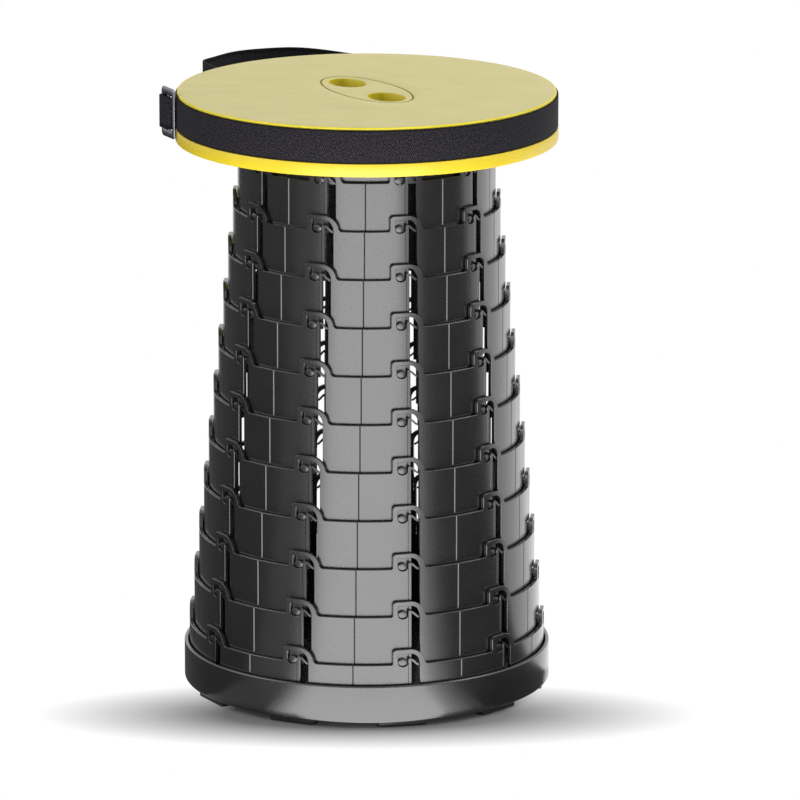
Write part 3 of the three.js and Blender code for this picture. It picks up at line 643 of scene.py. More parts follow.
def column_patches(radius, foot, edge, seam):
    """The flat patches of one 36 degree sector of a ring, as (grid of (u, v), is skin). u runs
    along the wall from the tab's middle and v up from the panel's top edge. Below the rim, each
    patch is a row of uprights from the ring's foot to its own top line."""
    rim, fillet_u, meet = tab_rim()
    half = math.pi * radius / COLUMNS
    seam_lines = np.array([half, half - seam, half - seam - edge])
    spans = max(4, round((half - TAB_RIGHT) / PANEL_CELL))
    left = joined(
        together(-seam_lines, 0),
        line((-seam_lines[2], 0), (TAB_LEFT - FILLET_LEFT, 0), spans),
        arc((TAB_LEFT - FILLET_LEFT, FILLET_LEFT), (FILLET_LEFT,) * 2, -90, 0, 4),
        rim[0],
    )
    right = joined(
        rim[-1][::-1],
        arc((fillet_u, FILLET_RIGHT), (FILLET_RIGHT,) * 2, 180 + meet, 270, 6),
        line((fillet_u, 0), (seam_lines[2], 0), spans),
        together(seam_lines[::-1], 0),
    )
    radii = (POCKET_RIGHT - POCKET_LEFT) / 2, POCKET_DEPTH
    pocket = oval(np.radians(POCKET_ANGLES), *radii) + [PEG_U, PEG_V]
    rib_u = np.array(RIB_LINES)
    middle, reach = (POCKET_RIGHT + CHANNEL_LEFT) / 2, (CHANNEL_LEFT - POCKET_RIGHT) / 2
    arch = np.sqrt(np.clip(1 - ((rib_u - middle) / reach) ** 2, 0, 1))
    bottom = -PANEL_HEIGHT - foot

    def uprights(top, low):
        rise = top[:, 1]
        v = together(low, low + edge, low + 2 * edge, rise - 2 * edge, rise - edge, rise)
        return together(top[:, :1], v)

    return [
        (rim[:, ::-1], False),
        (uprights(left, bottom), False),
        (uprights(pocket, bottom), True),
        (uprights(together(rib_u, PEG_V), bottom), False),
        (uprights(together(rib_u, RIB_TIP + RIB_ARCH * arch), PEG_V), False),
        (uprights(right, bottom), False),
    ]


def open_edges(quads, count, side):
    """The directed edges that only one quad has, leaving out those with both ends on a side."""
    edges = together(quads, np.roll(quads, -1, axis=1)).reshape(-1, 2)
    key = edges.min(axis=1) * count + edges.max(axis=1)
    _, where, times = np.unique(key, return_inverse=True, return_counts=True)
    lone = times[where.reshape(-1)] == 1
    return edges[lone & ~side[edges].all(axis=1)]


def ring_wall(radius, foot, sizes):
    """A ring's wall, closed. The flat patches are welded and wrapped: azimuth = u / radius. The
    outside lies at the radius, lowered by the edge's bevel along every open edge and by the
    seam's depth along the seams. The inside lies a wall's thickness in, or a skin's thickness in
    where a groove for a peg runs down behind the pocket. Walls join the levels at open edges."""
    lengths = (sizes.edge, sizes.seam_width / 2, sizes.seam_depth, sizes.wall, sizes.skin)
    edge, seam, depth, wall, skin = (value / MM for value in lengths)
    flat, quads, thin = [], [], []
    count = 0
    for patch, is_skin in column_patches(radius, foot, edge, seam):
        cells = grid_quads(*patch.shape[:2])
        a, b, c = (patch.reshape(-1, 2)[cells[:, k]] for k in range(3))
        if np.sum((b - a)[:, 0] * (c - b)[:, 1] - (b - a)[:, 1] * (c - b)[:, 0]) < 0:
            cells = cells[:, ::-1]
        flat.append(patch.reshape(-1, 2))
        quads.append(cells + count)
        thin.append(np.full(len(cells), is_skin))
        count += len(flat[-1])
    flat, quads, thin = np.concatenate(flat), np.concatenate(quads), np.concatenate(thin)
    first, where = welded(flat)
    flat, quads = flat[first], where[quads]
    n = len(flat)
    u, v = flat.T
    side = np.abs(np.abs(u) - math.pi * radius / COLUMNS) < SAME
    rims, steps = open_edges(quads, n, side), open_edges(quads[~thin], n, side)
    seamed = side | ((np.abs(u - POCKET_RIGHT) < SAME) & (v < PEG_V - SAME))
    drop = np.where(seamed, depth, 0.0)
    drop[rims.ravel()] = np.maximum(drop[rims.ravel()], edge)
    levels = together(radius - drop, radius - skin, radius - wall).T
    turn = math.tau * np.arange(COLUMNS)[:, None, None] / COLUMNS + u / radius
    sector = [quads, quads[thin][:, ::-1] + n, quads[~thin][:, ::-1] + 2 * n]
    for lone, level in ((rims, 0), (steps, n)):
        a, b = lone.T
        sector.append(together(b, a, a + n, b + n) + level)
    every = np.concatenate(sector)[None] + 3 * n * np.arange(COLUMNS)[:, None, None]
    return surface(around(levels, turn, v), every)


def pegs(radius, sizes):
    """Ten oval pegs on a ring: an ellipse carried outwards, with a bevelled end."""
    reach, bevel = radius + RING_GAP + PEG_ENGAGEMENT, sizes.edge / MM
    outline = oval(whole_turn(TINY_SIDES), PEG_LONG, PEG_SHORT)
    # the bevel's rows: the share of it that is left to the tip, and that is off the outline
    cuts = [(reach - bevel * left, bevel * cut) for left, cut in ((1, 0), (0.3, 0.3), (0, 1))]
    cuts.insert(0, (radius - PEG_ROOT, 0))
    rows = [(r, (1 - cut / PEG_LONG, 1 - cut / PEG_SHORT)) for r, cut in cuts]
    middle = math.degrees(PEG_U / (radius + RING_STEP)) - TURN_PER_RING
    return spread(stacked(outline, rows, True), COLUMNS, middle, 0, PEG_RISE - PANEL_HEIGHT)


def normals(path):
    """The unit normals of a plan path, to its left."""
    tangent = np.gradient(path, axis=0)
    tangent /= np.linalg.norm(tangent, axis=1, keepdims=True)
    return together(-tangent[:, 1], tangent[:, 0])


def tongues(radius):
    """Ten thin S-shaped tongues that bend from the rib's tip across the channel. Each is a flat
    bar carried along a line that drops by the smoothstep of its share, wrapped on the ring."""
    t = np.linspace(0, 1, TONGUE_STATIONS)
    u, v = TONGUE_START
    path = together(u + TONGUE_REACH * t, v - TONGUE_DROP * smoothstep(t))
    half, front, back = TONGUE_HALF, TONGUE_FRONT, TONGUE_BACK
    loops = []
    for across, depth in ((half, front), (-half, front), (-half, back), (half, back)):
        u, v = (path + across * normals(path)).T
        loops.append(around(radius - depth, u / radius, v))
    return spread(carried(np.stack(loops, axis=1)), COLUMNS)


def ring_bottom(number):
    """The level of a ring's foot, counted from the seat's ring."""
    return RING_FLOOR + (RING_COUNT - 1 - number) * RING_PITCH


class StoolMakeRings(Operator):
    """Makes the eleven nested rings that show, each with its tabs and tongues, and all but the base
    ring with pegs
    """

    bl_idname = "stool.make_rings"
    bl_label = "Rings"

    def execute(self, context):
        sizes = context.scene.stool_rings
        for number in range(1, RING_COUNT):
            radius = SEAT_RING_RADIUS + number * RING_STEP
            is_base = number == RING_COUNT - 1
            parts = [ring_wall(radius, BASE_RING_FOOT if is_base else 0.0, sizes), *tongues(radius)]
            if not is_base:
                parts += pegs(radius, sizes)
            turn = SEAT_RING_COLUMN - number * TURN_PER_RING
            parts = shifted(parts, turn, ring_bottom(number) + PANEL_HEIGHT)
            node, body = ("base_ring", "base") if is_base else (f"ring_{number:02d}",) * 2
            make_piece(node, parts, body, "black_plastic", ["nylon"])
        return {"FINISHED"}


class StoolMakeSeatRing(Operator):
    """Makes the smallest ring, which carries the seat on a flange inside its top"""

    bl_idname = "stool.make_seat_ring"
    bl_label = "Seat ring"

    def execute(self, context):
        sizes = context.scene.stool_rings
        radius, inside = SEAT_RING_RADIUS, SEAT_RING_RADIUS - sizes.wall / MM
        bottom = ring_bottom(0)
        profile = [
            (radius, bottom),
            (radius, SEAT_UNDER),
            (inside, SEAT_UNDER),
            (inside, FLANGE_TOP),
            (RING_FLANGE_INNER, FLANGE_TOP),
            (RING_FLANGE_INNER, FLANGE_UNDER),
            (inside, FLANGE_UNDER),
            (inside, bottom),
        ]
        tube = turned(soft_corners(profile, RIB_EDGE), sizes.segments, True)
        knobs = shifted(pegs(radius, sizes), SEAT_RING_COLUMN, bottom + PANEL_HEIGHT)
        make_piece("seat_ring", [tube, *knobs], "seat", "black_plastic", ["nylon"])
        return {"FINISHED"}


class StoolMakeBase(Operator):
    """Makes the base tray and its ten pads"""

    bl_idname = "stool.make_base"
    bl_label = "Base"

    def execute(self, context):
        profile = [
            (0, 0),
            (BASE_RADIUS, 0),
            (BASE_RADIUS, BASE_RIM),
            (BASE_INNER, BASE_RIM),
            (BASE_INNER, BASE_FLOOR),
            (LEDGE_OUTER, BASE_FLOOR),
            (LEDGE_OUTER, BASE_LEDGE),
            (LEDGE_INNER, BASE_LEDGE),
            (LEDGE_INNER, BASE_FLOOR),
            (0, BASE_FLOOR),
        ]
        segments = context.scene.stool_rings.segments
        tray = turned(soft_corners(profile, BASE_EDGE, 4, closed=False), segments)
        make_piece("base_tray", [tray], "base", "black_plastic", ["nylon"])
        outline = rounded_rectangle(PAD_LENGTH, PAD_WIDTH, PAD_CORNER)
        rows = [(0.0, 1), (PAD_BEVEL - PAD_THICKNESS, 1)]
        rows.append((-PAD_THICKNESS, 1 - 2 * PAD_BEVEL / PAD_WIDTH))
        pads = spread(stacked(outline, rows), COLUMNS, PAD_AZIMUTH, PAD_CIRCLE)
        make_each("foot_pad_{:02d}", pads, "base", "rubber", ["rubber"])
        return {"FINISHED"}


# The seat. The numbers are the places of the finishes in the cover's list of materials

# the groove's dark olive is painted shade, and the lip's brighter yellow is painted light
COVER_KINDS = ["pale", "yellow", "groove", "collar"]
PALE, YELLOW, GROOVE_SHADE, PAINTED_LIP_LIGHT = range(4)
TOP_SHARES, UNDERSIDE_ROW = (0.1, 0.3, 0.5, 0.7, 0.9), 100.0
HOLE_RAYS, LINE_RAYS, INLAY_EDGE = 97, 33, 0.4


def seat_rows():
    """The seat cover's rows as (long half, short half, height, finish): ovals of the inlay's
    recess inside, which widen into circles, round the lip, the strap's bed, the skirt and back
    along the underside to the recess. The finish is that of the face that follows the row."""
    clear = np.array([INLAY_LONG, INLAY_SHORT]) + INLAY_GAP
    through = clear - INLAY_LEDGE
    rim = LIP_RADIUS - 1.2
    # the recess's edge rows take the groove's painted shade
    rows = [
        (*clear, SEAT_TOP - 0.45, GROOVE_SHADE),
        (*(clear + 0.12), SEAT_TOP - 0.15, GROOVE_SHADE),
        (*(clear + 0.4), SEAT_TOP, PALE),
    ]
    rows += [(*(clear + share * (rim - clear)), SEAT_TOP, PALE) for share in TOP_SHARES]
    skirt = [
        (LIP_RADIUS - 1.1, SEAT_TOP),
        (LIP_RADIUS - 0.45, SEAT_TOP - 0.12),
        (LIP_RADIUS - 0.12, SEAT_TOP - 0.45),
        (LIP_RADIUS, SEAT_TOP - 0.9),
        (LIP_RADIUS, SEAT_TOP - LIP_HEIGHT + 0.1),
        (LIP_RADIUS - 0.1, SEAT_TOP - LIP_HEIGHT),
        (STRAP_BED, SEAT_TOP - LIP_HEIGHT),
        (STRAP_BED, STRAP_BED_BOTTOM),
        (FLANGE_RADIUS - 0.5, STRAP_BED_BOTTOM),
        (FLANGE_RADIUS - 0.15, STRAP_BED_BOTTOM - 0.15),
        (FLANGE_RADIUS, STRAP_BED_BOTTOM - 0.5),
        (FLANGE_RADIUS, SKIRT_BOTTOM + 1.2),
        (FLANGE_RADIUS - 0.3, SKIRT_BOTTOM + 0.35),
        (FLANGE_RADIUS - 1.1, SKIRT_BOTTOM),
        (SKIRT_INNER + 0.5, SKIRT_BOTTOM),
        (SKIRT_INNER, SKIRT_BOTTOM + 0.5),
        (SKIRT_INNER, SEAT_UNDER - 1.5),
        (SKIRT_INNER - 0.45, SEAT_UNDER - 0.45),
        (SKIRT_INNER - 1.5, SEAT_UNDER),
        (UNDERSIDE_ROW, SEAT_UNDER),
        (HOOP_OUTER, SEAT_UNDER),
    ]
    # the lip above the strap takes the brighter yellow: painted light
    rows += [(r, r, z, PAINTED_LIP_LIGHT if z > STRAP_TOP else YELLOW) for r, z in skirt]
    floor = SEAT_TOP - INLAY_THICKNESS
    return rows + [
        (*through, SEAT_UNDER, YELLOW),
        (*through, floor, YELLOW),
        (*clear, floor, GROOVE_SHADE),
    ]


def oval_rows(rows, segments, turn):
    """A closed band of ovals: each row's (long cos t, short sin t) turned by the angle."""
    long, short, level, finish = np.array(rows, float).T
    t = whole_turn(segments)[:, None] - math.radians(turn)
    points = together(long * np.cos(t), short * np.sin(t), level)
    quads = grid_quads(segments, len(rows), True, True)
    return placed(surface(points, quads, finish=np.tile(finish, segments)), turn)


class StoolMakeSeat(Operator):
    """Makes the seat cover with its skirt and the beams and bosses below it"""

    bl_idname = "stool.make_seat"
    bl_label = "Seat cover"

    def execute(self, context):
        def tube(outer, inner, low, sides):
            profile = [(outer, low), (outer, BEAM_HIGH), (inner, BEAM_HIGH), (inner, low)]
            return turned(soft_corners(profile, RIB_EDGE), sides, True)

        segments = context.scene.stool_rings.segments
        below = [tube(HOOP_OUTER, HOOP_INNER, BEAM_LOW, segments)]
        boss = tube(BOSS_RADIUS, BOSS_HOLE, BOSS_LOW, SMALL_SIDES)
        below += spread(boss, SCREW_COUNT, SCREW_FIRST, SCREW_CIRCLE)
        outline = rounded_rectangle(BEAM_WIDTH, BEAM_HIGH - BEAM_LOW, RIB_EDGE)
        beam = stacked(outline, ((BEAM_FROM, 1), (BEAM_TO, 1)), True)
        below += spread(beam, COLUMNS, 180 / COLUMNS, 0, (BEAM_HIGH + BEAM_LOW) / 2)
        for part in below:
            part["finish"] = np.full(len(part["quads"]), YELLOW)
        cover = oval_rows(seat_rows(), segments, INLAY_TURN)
        make_piece("seat_cover", [cover, *below], "seat", "yellow_plastic", COVER_KINDS)
        return {"FINISHED"}


def inlay_half():
    """Half of the inlay, round one finger hole, open where the other half joins it. Rays leave
    the hole's middle through (long cos a, short sin a) and end where they meet the inlay's oval
    or the line between the halves. Rows run from that end over the top to the hole, down its
    collar and back below. The finish is 0 for the plate, 1 for the collar, 2 for the groove's
    painted shade."""
    corner = math.degrees(math.atan2(INLAY_SHORT / HOLE_SHORT, -HOLE_OFFSET / HOLE_LONG))
    rest = np.linspace(corner, 360 - corner, LINE_RAYS)[1:-1]
    a = np.radians(np.concatenate([np.linspace(-corner, corner, HOLE_RAYS), rest]))
    ray = oval(a, HOLE_LONG, HOLE_SHORT)
    half = np.array([INLAY_LONG, INLAY_SHORT])
    p, q = np.array([HOLE_OFFSET, 0]) / half, ray / half
    pp, pq, qq = p @ p - 1, q @ p, np.einsum("ij,ij->i", q, q)
    to_oval = (-pq + np.sqrt(pq**2 - qq * pp)) / qq
    to_line = np.where(ray[:, 0] < -1e-9, HOLE_OFFSET / -np.minimum(ray[:, 0], -1e-9), np.inf)
    on_oval = to_oval <= to_line + 1e-6
    reach = np.minimum(to_oval, to_line)[:, None]
    grow = 1 + COLLAR_WALL / np.array([HOLE_LONG, HOLE_SHORT])
    top, under, low = SEAT_TOP, SEAT_TOP - INLAY_THICKNESS, SEAT_TOP - COLLAR_DEPTH
    # each row's share of the ray and its level
    rows = [(reach, top - INLAY_EDGE * on_oval), (reach - 0.04, top), (reach * 0.5 + 0.55, top)]
    rows += [(1.07, top), (1.02, top - 0.2), (1.0, top - 0.7), (1.0, low), (grow, low)]
    rows += [(grow, under), (reach, under)]
    xy = np.stack([ray * share for share, _ in rows], axis=1) + np.array([HOLE_OFFSET, 0])
    z = together(*(level for _, level in rows))
    points = together(xy[..., 0], xy[..., 1], z).reshape(-1, 3)
    rim = on_oval & np.roll(on_oval, -1)
    start, last = np.arange(len(a)) * len(rows), len(rows) - 1
    after = np.roll(start, -1)
    wall = together(start + last, start, after, after + last)[rim]
    quads = np.concatenate([grid_quads(len(a), len(rows), True, False), wall])
    band = np.arange(last)
    # the rim row along the oval and the wall at its edge take the groove's painted shade
    finishes = np.where((band == 0) & rim[:, None], 2, band > 3).ravel()
    finishes = np.concatenate([finishes, np.full(len(wall), 2)])
    return {"points": points, "quads": quads, "finish": finishes}


# half a screw, from the middle of its cross recess over the head and up its shank
SCREW_HEAD = [(0, -1.2), (1.6, -1.2), (2.0, -2.4), (3.0, -2.3), (3.6, -1.4), (3.6, 0), (1.7, 0)]
SCREW_SHANK, SCREW_END = 1.7, FLANGE_TOP + 6


class StoolMakeInlay(Operator):
    """Makes the inlay with its two finger holes, and the screws below the seat"""

    bl_idname = "stool.make_inlay"
    bl_label = "Inlay and screws"

    def execute(self, context):
        half = inlay_half()
        points = [placed(half, INLAY_TURN + turn)["points"] for turn in (0, 180)]
        quads = np.concatenate([half["quads"], half["quads"] + len(half["points"])])
        plate = surface(np.concatenate(points), quads, finish=np.tile(half["finish"], 2))
        make_piece("seat_inlay", [plate], "seat", "inlay_plastic", ["pale", "collar", "groove"])
        profile = [(r, FLANGE_UNDER + z) for r, z in SCREW_HEAD]
        profile += [(SCREW_SHANK, SCREW_END), (0, SCREW_END)]
        screw = turned(profile, TINY_SIDES)
        screws = spread(screw, SCREW_COUNT, SCREW_FIRST, SCREW_CIRCLE)
        make_each("seat_screw_{}", screws, "seat", "zinc", ["zinc"])
        return {"FINISHED"}


# The strap

HANDLE_STATIONS, HANDLE_SPACING, HANDLE_BEND = 400, 1.2, 9
TAIL_NOSE = 1.0
SLIDER_CORNERS, SLIDER_POWER, SLIDER_LAP = (1.0, 3.0), 0.7, 0.6


def webbing_on(path, middle):
    """Webbing on edge along a plan path: a rounded upright section carried along it. The middle
    is the height of its middle line, one number or a column of them."""
    section = rounded_rectangle(STRAP_THICKNESS, STRAP_WIDTH, STRAP_CORNER)
    plan = path[:, None] + normals(path)[:, None] * section[None, :, :1]
    return carried(together(plan[..., 0], plan[..., 1], section[:, 1] + middle))


def handle():
    """The handle's webbing. Its middle line is a circle just outside the band, plus a standoff
    that smoothsteps out over the fold and back in over the return, with a belly that deepens and
    lifts its middle. Azimuths run clockwise, seen from above. The line is cut into equal steps,
    and two moving averages over some of them bend round its folds."""
    start, fold, folded, leave, back, end = HANDLE_TURNS
    turn = np.linspace(start, end, HANDLE_STATIONS)

    def step(low, high):
        return smoothstep(np.clip((turn - low) / (high - low), 0, 1))

    belly = step(folded, HANDLE_MIDDLE) - step(HANDLE_MIDDLE, back)
    radius = STRAP_INNER + 1.5 * STRAP_THICKNESS + LAYER_GAP + HANDLE_BELLY * belly
    radius += HANDLE_STANDOFF * (step(fold, folded) - step(leave, back))
    path = around(radius, -np.radians(turn), HANDLE_RISE * belly)
    along = lengthwise(path)
    even = np.linspace(0, along[-1], round(along[-1] / HANDLE_SPACING))
    path = together(*(np.interp(even, along, part) for part in path.T))
    reach = np.arange(1, HANDLE_BEND // 2 + 1)[:, None]
    share = np.full(HANDLE_BEND, 1 / HANDLE_BEND)
    for _ in range(2):
        before = path[0] - reach[::-1] * (path[1] - path[0])
        after = path[-1] + reach * (path[-1] - path[-2])
        padded = np.concatenate([before, path, after])
        path = together(*(np.convolve(part, share, "valid") for part in padded.T))
    return webbing_on(path[:, :2], path[:, 2:] + STRAP_MIDDLE)


def smooth_path(corners, per_span=8):
    """A Catmull-Rom curve through the corners."""
    p = np.asarray(corners, float)
    p = np.concatenate([2 * p[:1] - p[1:2], p, 2 * p[-1:] - p[-2:-1]])
    t = np.linspace(0, 1, per_span, endpoint=False)[None, :, None]
    a, b, c, d = (p[k : len(p) - 3 + k, None] for k in range(4))
    bend, twist = 2 * a - 5 * b + 4 * c - d, 3 * b - a - 3 * c + d
    run = 0.5 * (2 * b + (c - a) * t + bend * t**2 + twist * t**3)
    return np.concatenate([run.reshape(-1, 2), p[-2:-1]])


def tail():
    """The webbing's end, flat in the slider's own frame: from the gap beside its middle bar it
    passes behind that bar and loops round the outer one."""
    slot = (SLIDER_LENGTH - 3 * SLIDER_BAR) / 2
    centre, bar, front = (SLIDER_BAR + slot) / 2, SLIDER_BAR / 2, SLIDER_LENGTH / 2
    inside = SLIDER_THICKNESS / 2 + STRAP_THICKNESS / 2
    out = SLIDER_THICKNESS / 2 + LAYER_GAP + STRAP_THICKNESS / 2
    before, past = TAIL_NOSE - front, -TAIL_NOSE - front
    corners = [(centre, inside), (centre, 0), (bar, -out), (-bar, -out)]
    corners += [(before, -out), (past, 0), (before, out), (SLIDER_BAR - front, out)]
    return webbing_on(smooth_path(corners), STRAP_MIDDLE)


def slider_radius():
    """Distance of the slider's middle from the axis: its nearer end lies on the band."""
    tilt = math.radians(SLIDER_TILT)
    reach = SLIDER_LENGTH / 2 * math.sin(tilt) + SLIDER_THICKNESS / 2 * math.cos(tilt)
    return STRAP_INNER + STRAP_THICKNESS + LAYER_GAP + reach


class StoolMakeStrap(Operator):
    """Makes the webbing band, the carrying handle and the tail through the slider"""

    bl_idname = "stool.make_strap"
    bl_label = "Strap"

    def execute(self, context):
        segments = context.scene.stool_rings.segments
        radius = STRAP_INNER + STRAP_THICKNESS / 2
        section = rounded_rectangle(STRAP_THICKNESS, STRAP_WIDTH, STRAP_CORNER)
        profile = section + [radius, STRAP_MIDDLE]
        along = np.arange(segments + 1) * (math.tau * radius / segments)
        uv = band_uv(along, lengthwise(np.concatenate([profile, profile[:1]])))
        end = placed(tail(), SLIDER_AZIMUTH, slider_radius(), 0, SLIDER_TILT)
        for name, part in (
            ("strap_band", turned(profile, segments, True, uv)),
            ("strap_handle", handle()),
            ("strap_tail", end),
        ):
            make_piece(name, [part], "seat", "webbing", ["webbing"], "_woven")
        return {"FINISHED"}


def slider_frame():
    """The slider's outer frame and its middle bar. Their section is a superellipse, with both
    coordinates a power of a cosine or sine. Round the frame it spans from the inner rounded
    rectangle to the outer one, so the end bars come out wider than the uprights."""
    room = (SLIDER_LENGTH - 2 * SLIDER_BAR, SLIDER_HEIGHT - 2 * SLIDER_END_BAR)
    inner = rounded_rectangle(*room, SLIDER_CORNERS[0], 6)
    outer = rounded_rectangle(SLIDER_LENGTH, SLIDER_HEIGHT, SLIDER_CORNERS[1], 6)
    a = whole_turn(TINY_SIDES)
    across, deep = (np.sign(f) * np.abs(f) ** SLIDER_POWER / 2 for f in (np.cos(a), np.sin(a)))
    share = across[None, :, None] + 0.5
    plan = inner[:, None] * (1 - share) + outer[:, None] * share
    points = together(plan[..., 0], deep * SLIDER_THICKNESS, plan[..., 1])
    hoop = surface(points, grid_quads(len(inner), len(a), True, True))
    bar = together(across * SLIDER_BAR, deep * SLIDER_THICKNESS)
    ends = SLIDER_HEIGHT / 2 - SLIDER_END_BAR + SLIDER_LAP
    return [hoop, stacked(bar, ((-ends, 1), (ends, 1)))]


class StoolMakeHardware(Operator):
    """Makes the slider and the two rivets of the strap"""

    bl_idname = "stool.make_hardware"
    bl_label = "Slider and rivets"

    def execute(self, context):
        spot = (SLIDER_AZIMUTH, slider_radius(), STRAP_MIDDLE, SLIDER_TILT)
        parts = [placed(part, *spot) for part in slider_frame()]
        make_piece("strap_slider", parts, "seat", "nickel", ["nickel"])
        face = STRAP_INNER + 2 * STRAP_THICKNESS + 2 * LAYER_GAP
        half = arc((0, 0), (RIVET_RADIUS, RIVET_HEIGHT), 0, 90, 8)
        dome = turned(np.concatenate([[[0, 0]], half]), SMALL_SIDES)
        x, y, z = dome["points"].T
        dome["points"] = together(x, -z, y)
        insets = (RIVET_INSET, RIVET_INSET + RIVET_SPACING)
        turns = [HANDLE_TURNS[-1] - math.degrees(inset / face) for inset in insets]
        rivets = [placed(dome, -turn, face, STRAP_MIDDLE) for turn in turns]
        make_each("strap_rivet_{}", rivets, "seat", "nickel", ["nickel"])
        return {"FINISHED"}


# Stage, in metres

FLOOR_LEVEL, FLOOR_HALF, FLOOR_GLOW = -PAD_THICKNESS * MM, 30, 0.02
# the grey of the painted shadow on the floor
PAINTED_SHADOW_GREY = (0.3, 0.3, 0.3, 1)
# the ellipse of painted shadow round the stool: its middle, its reaches, and the share of the reach
# where it starts to fade to white
SHADOW_MIDDLE, SHADOW_REACH, SHADOW_CORE = (0.0, -0.0985), (0.24, 0.089), 0.43
PANEL_NEAR, PANEL_FAR, PANEL_LEVEL = 0.15, 5.0, FLOOR_LEVEL + MM
# name, azimuths, the setting for its brightness and the share of it. Wings that fade in steps
# soften the sides of the front panel's reflection.
PANELS = (
    ("front_panel", -25, 28, "front", 1),
    ("front_left_wing_1", -28, -25, "front", 0.95),
    ("front_left_wing_2", -31, -28, "front", 0.75),
    ("front_left_wing_3", -34, -31, "front", 0.5),
    ("front_left_wing_4", -37, -34, "front", 0.25),
    ("front_right_wing_1", 28, 31, "front", 0.65),
    ("front_right_wing_2", 31, 35, "front", 0.4),
    ("front_right_wing_3", 35, 39, "front", 0.25),
    ("front_right_wing_4", 39, 44, "front", 0.12),
    ("left_panel", -62, -37, "left", 1),
    ("right_panel", 94, 150, "right", 1),
)
# dark cards keep the white floor out of the rings' shaded sides
CARDS, CARD_GLOW = (("left_card", -160, -62), ("right_card", 44, 94)), 0.1
# name, azimuth, distance, height, side, the setting for its brightness and the share of it
BOXES = (
    ("top_box", 125, 0.9, 2.0, 1.3, "above", 1),
    ("side_box", -80, 1.8, 1.3, 1.5, "side", 1),
    ("right_box", 75, 1.8, 1.3, 1.0, "side", 1.5),
)
BOX_AIM = Vector((0, 0, 0.2))
LOOK_AT_HEIGHT, LOOK_AT_PIXEL = 0.224, (366.75, 379.44)
CAMERA_DISTANCE, CAMERA_PITCH = 5.231, 13.705
IMAGE_SIDE, FOCAL_PIXELS = 800.0, 7098.8


def background_ray(tree):
    """A socket that is 1 for camera, glossy and transmission rays, which see the white room."""
    path = add(tree, "ShaderNodeLightPath")
    rays = [path.outputs[f"Is {kind} Ray"] for kind in ("Camera", "Glossy", "Transmission")]
    return calculated(tree, "MAXIMUM", calculated(tree, "MAXIMUM", *rays[:2]), rays[2])


def show_one_sided(tree, shader):
    """Gives a sheet the shader on its upper side, and leaves it clear from below."""
    below = add(tree, "ShaderNodeNewGeometry").outputs["Backfacing"]
    clear = add(tree, "ShaderNodeBsdfTransparent").outputs[0]
    show(tree, either(tree, below, shader, clear))


def make_sheet(name, corners, material):
    """One flat quad of the stage."""
    mesh = bpy.data.meshes.new(name)
    mesh.from_pydata(corners.tolist(), [], [(0, 1, 2, 3)])
    mesh.materials.append(material)
    sheet = put(name, mesh)
    return sheet


def make_floor():
    """A floor painted dark grey under and in front of the stool, a painted shadow on which the
    stool's own shadow falls too. Over an ellipse it goes over into the room's white. Seen from
    below, it is clear and lets the stool's underside show."""
    material, tree = new_material("White paper floor")
    seen = background_ray(tree)
    inputs = {
        "Base Color": PAINTED_SHADOW_GREY,
        "Roughness": 0.9,
        "Specular IOR Level": 0.0,
        "Emission Color": WHITE,
        "Emission Strength": calculated(tree, "MULTIPLY", seen, FLOOR_GLOW),
    }
    place = add(tree, "ShaderNodeTexCoord").outputs["Object"]
    scale = [1 / reach for reach in SHADOW_REACH]
    shift = [-middle * k for middle, k in zip(SHADOW_MIDDLE, scale)]
    place = stretched(tree, place, (*scale, 1.0), (*shift, 0.0))
    out = add(tree, "ShaderNodeVectorMath", {0: place}, operation="LENGTH").outputs["Value"]
    blend = calculated(tree, "MULTIPLY", ranged(tree, out, SHADOW_CORE, 1.0), seen)
    paper = either(tree, blend, principled(tree, inputs), glowing(tree, 1.0))
    show_one_sided(tree, paper)
    side = np.array([[-1, -1, 0], [1, -1, 0], [1, 1, 0], [-1, 1, 0]], float) * FLOOR_HALF
    make_sheet("floor", side + [0, 0, FLOOR_LEVEL], material)


def light_panel(name, start, end, brightness):
    """A light panel that lies on the floor round part of the stool, between two azimuths. Only
    its upper side shines: upright faces mirror it for a viewer who looks slightly down."""
    material, tree = new_material(name)
    show_one_sided(tree, glowing(tree, brightness))
    r = np.array([PANEL_NEAR, PANEL_FAR, PANEL_FAR, PANEL_NEAR])
    corners = around(r, np.radians([start, start, end, end]), PANEL_LEVEL)
    make_sheet(name, corners, material).visible_camera = False


def softbox(name, azimuth, distance, height, side, brightness):
    """A soft square lamp round the stool, turned to its middle. Its power gives the wanted
    brightness over its own area, so a larger box isn't a brighter one."""
    data = bpy.data.lights.new(name, "AREA")
    data.shape, data.size, data.size_y = "RECTANGLE", side, side
    data.energy = brightness * math.pi * side * side
    lamp = put(name, data)
    lamp.location = around(distance, math.radians(azimuth), height)
    lamp.rotation_euler = (BOX_AIM - lamp.location).to_track_quat("-Z", "Y").to_euler()
    lamp.visible_camera = False


def make_room(scene, strength):
    """The world: a dim light, and white where it is seen."""
    scene.world = bpy.data.worlds.new("room")
    scene.world.use_nodes = True
    tree = scene.world.node_tree
    tree.nodes.clear()
    dim, white = (
        add(tree, "ShaderNodeBackground", {"Color": WHITE, "Strength": value}).outputs[0]
        for value in (strength, 1.0)
    )
    sky = either(tree, background_ray(tree), dim, white)
    add(tree, "ShaderNodeOutputWorld", {"Surface": sky})


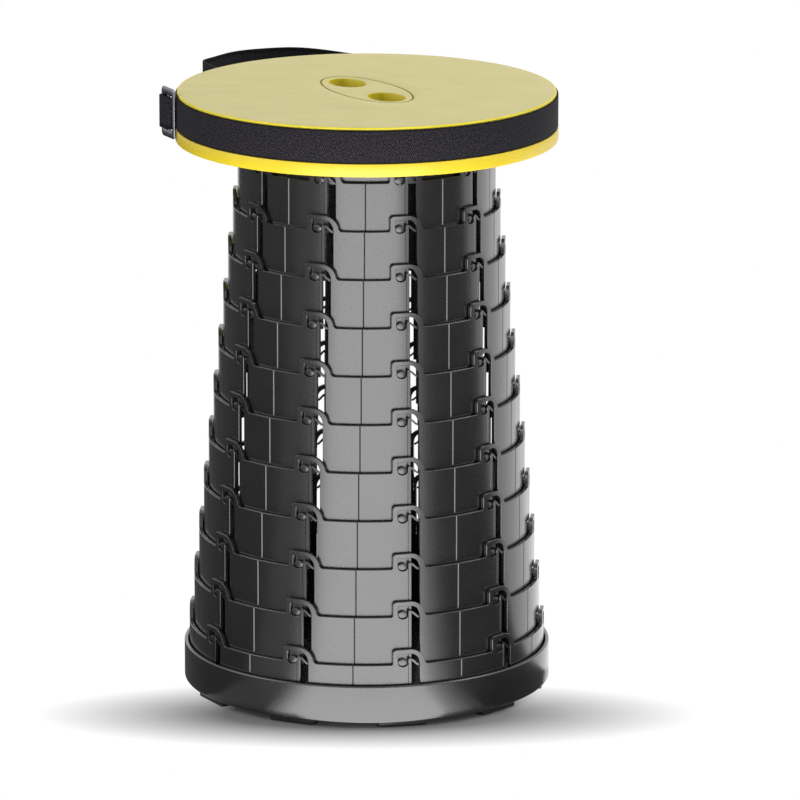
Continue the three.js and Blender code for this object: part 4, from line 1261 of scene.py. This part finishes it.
def make_camera(scene):
    """The photograph's camera: straight in front, pitched down, and shifted to its framing."""
    data = bpy.data.cameras.new("camera")
    scene.camera = camera = put("camera", data)
    pitch = math.radians(CAMERA_PITCH)
    rise = LOOK_AT_HEIGHT + CAMERA_DISTANCE * math.sin(pitch)
    camera.location = (0, -CAMERA_DISTANCE * math.cos(pitch), rise)
    camera.rotation_euler = (math.pi / 2 - pitch, 0, 0)
    data.lens = data.sensor_width * FOCAL_PIXELS / IMAGE_SIDE
    data.shift_x = (IMAGE_SIDE / 2 - LOOK_AT_PIXEL[0]) / IMAGE_SIDE
    data.shift_y = (LOOK_AT_PIXEL[1] - IMAGE_SIDE / 2) / IMAGE_SIDE
    data.clip_end = 100.0


class StoolMakeStage(Operator):
    """Makes the floor, the room, the lamps and the camera"""

    bl_idname = "stool.make_stage"
    bl_label = "Stage"

    def execute(self, context):
        scene, lights = context.scene, context.scene.stool_lights
        make_floor()
        make_room(scene, lights.room)
        for *spot, setting, share in PANELS:
            light_panel(*spot, getattr(lights, setting) * share)
        for spot in CARDS:
            light_panel(*spot, CARD_GLOW)
        for *spot, setting, share in BOXES:
            softbox(*spot, getattr(lights, setting) * share)
        make_camera(scene)
        scene.view_settings.view_transform = "Standard"
        return {"FINISHED"}


OPERATORS = (
    StoolMakeStage,
    StoolMakeBase,
    StoolMakeRings,
    StoolMakeSeatRing,
    StoolMakeSeat,
    StoolMakeInlay,
    StoolMakeStrap,
    StoolMakeHardware,
)

SETTINGS = {
    "stool_rings": StoolRingSizes,
    "stool_strap": StoolStrapSizes,
    "stool_colours": StoolColours,
    "stool_lights": StoolLightSettings,
}


class StoolPanel(Panel):
    """Lists the stool's operators and settings"""

    bl_idname = "STOOL_PT_pieces"
    bl_label = "Telescopic stool"
    bl_space_type = "VIEW_3D"
    bl_region_type = "UI"
    bl_category = "Stool"

    def draw(self, context):
        for operator in OPERATORS:
            self.layout.operator(operator.bl_idname)
        for name in SETTINGS:
            group = getattr(context.scene, name)
            for key in group.bl_rna.properties.keys():
                if key not in {"rna_type", "name"}:
                    self.layout.prop(group, key)


CLASSES = (*SETTINGS.values(), *OPERATORS, StoolPanel)


def register():
    for group in CLASSES:
        bpy.utils.register_class(group)
    for name, group in SETTINGS.items():
        setattr(bpy.types.Scene, name, PointerProperty(type=group))


def unregister():
    for name in SETTINGS:
        delattr(bpy.types.Scene, name)
    for group in reversed(CLASSES):
        bpy.utils.unregister_class(group)


def main():
    """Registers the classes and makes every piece."""
    register()
    for operator in OPERATORS:
        category, name = operator.bl_idname.split(".")
        getattr(getattr(bpy.ops, category), name)()


if __name__ == "__main__":
    main()
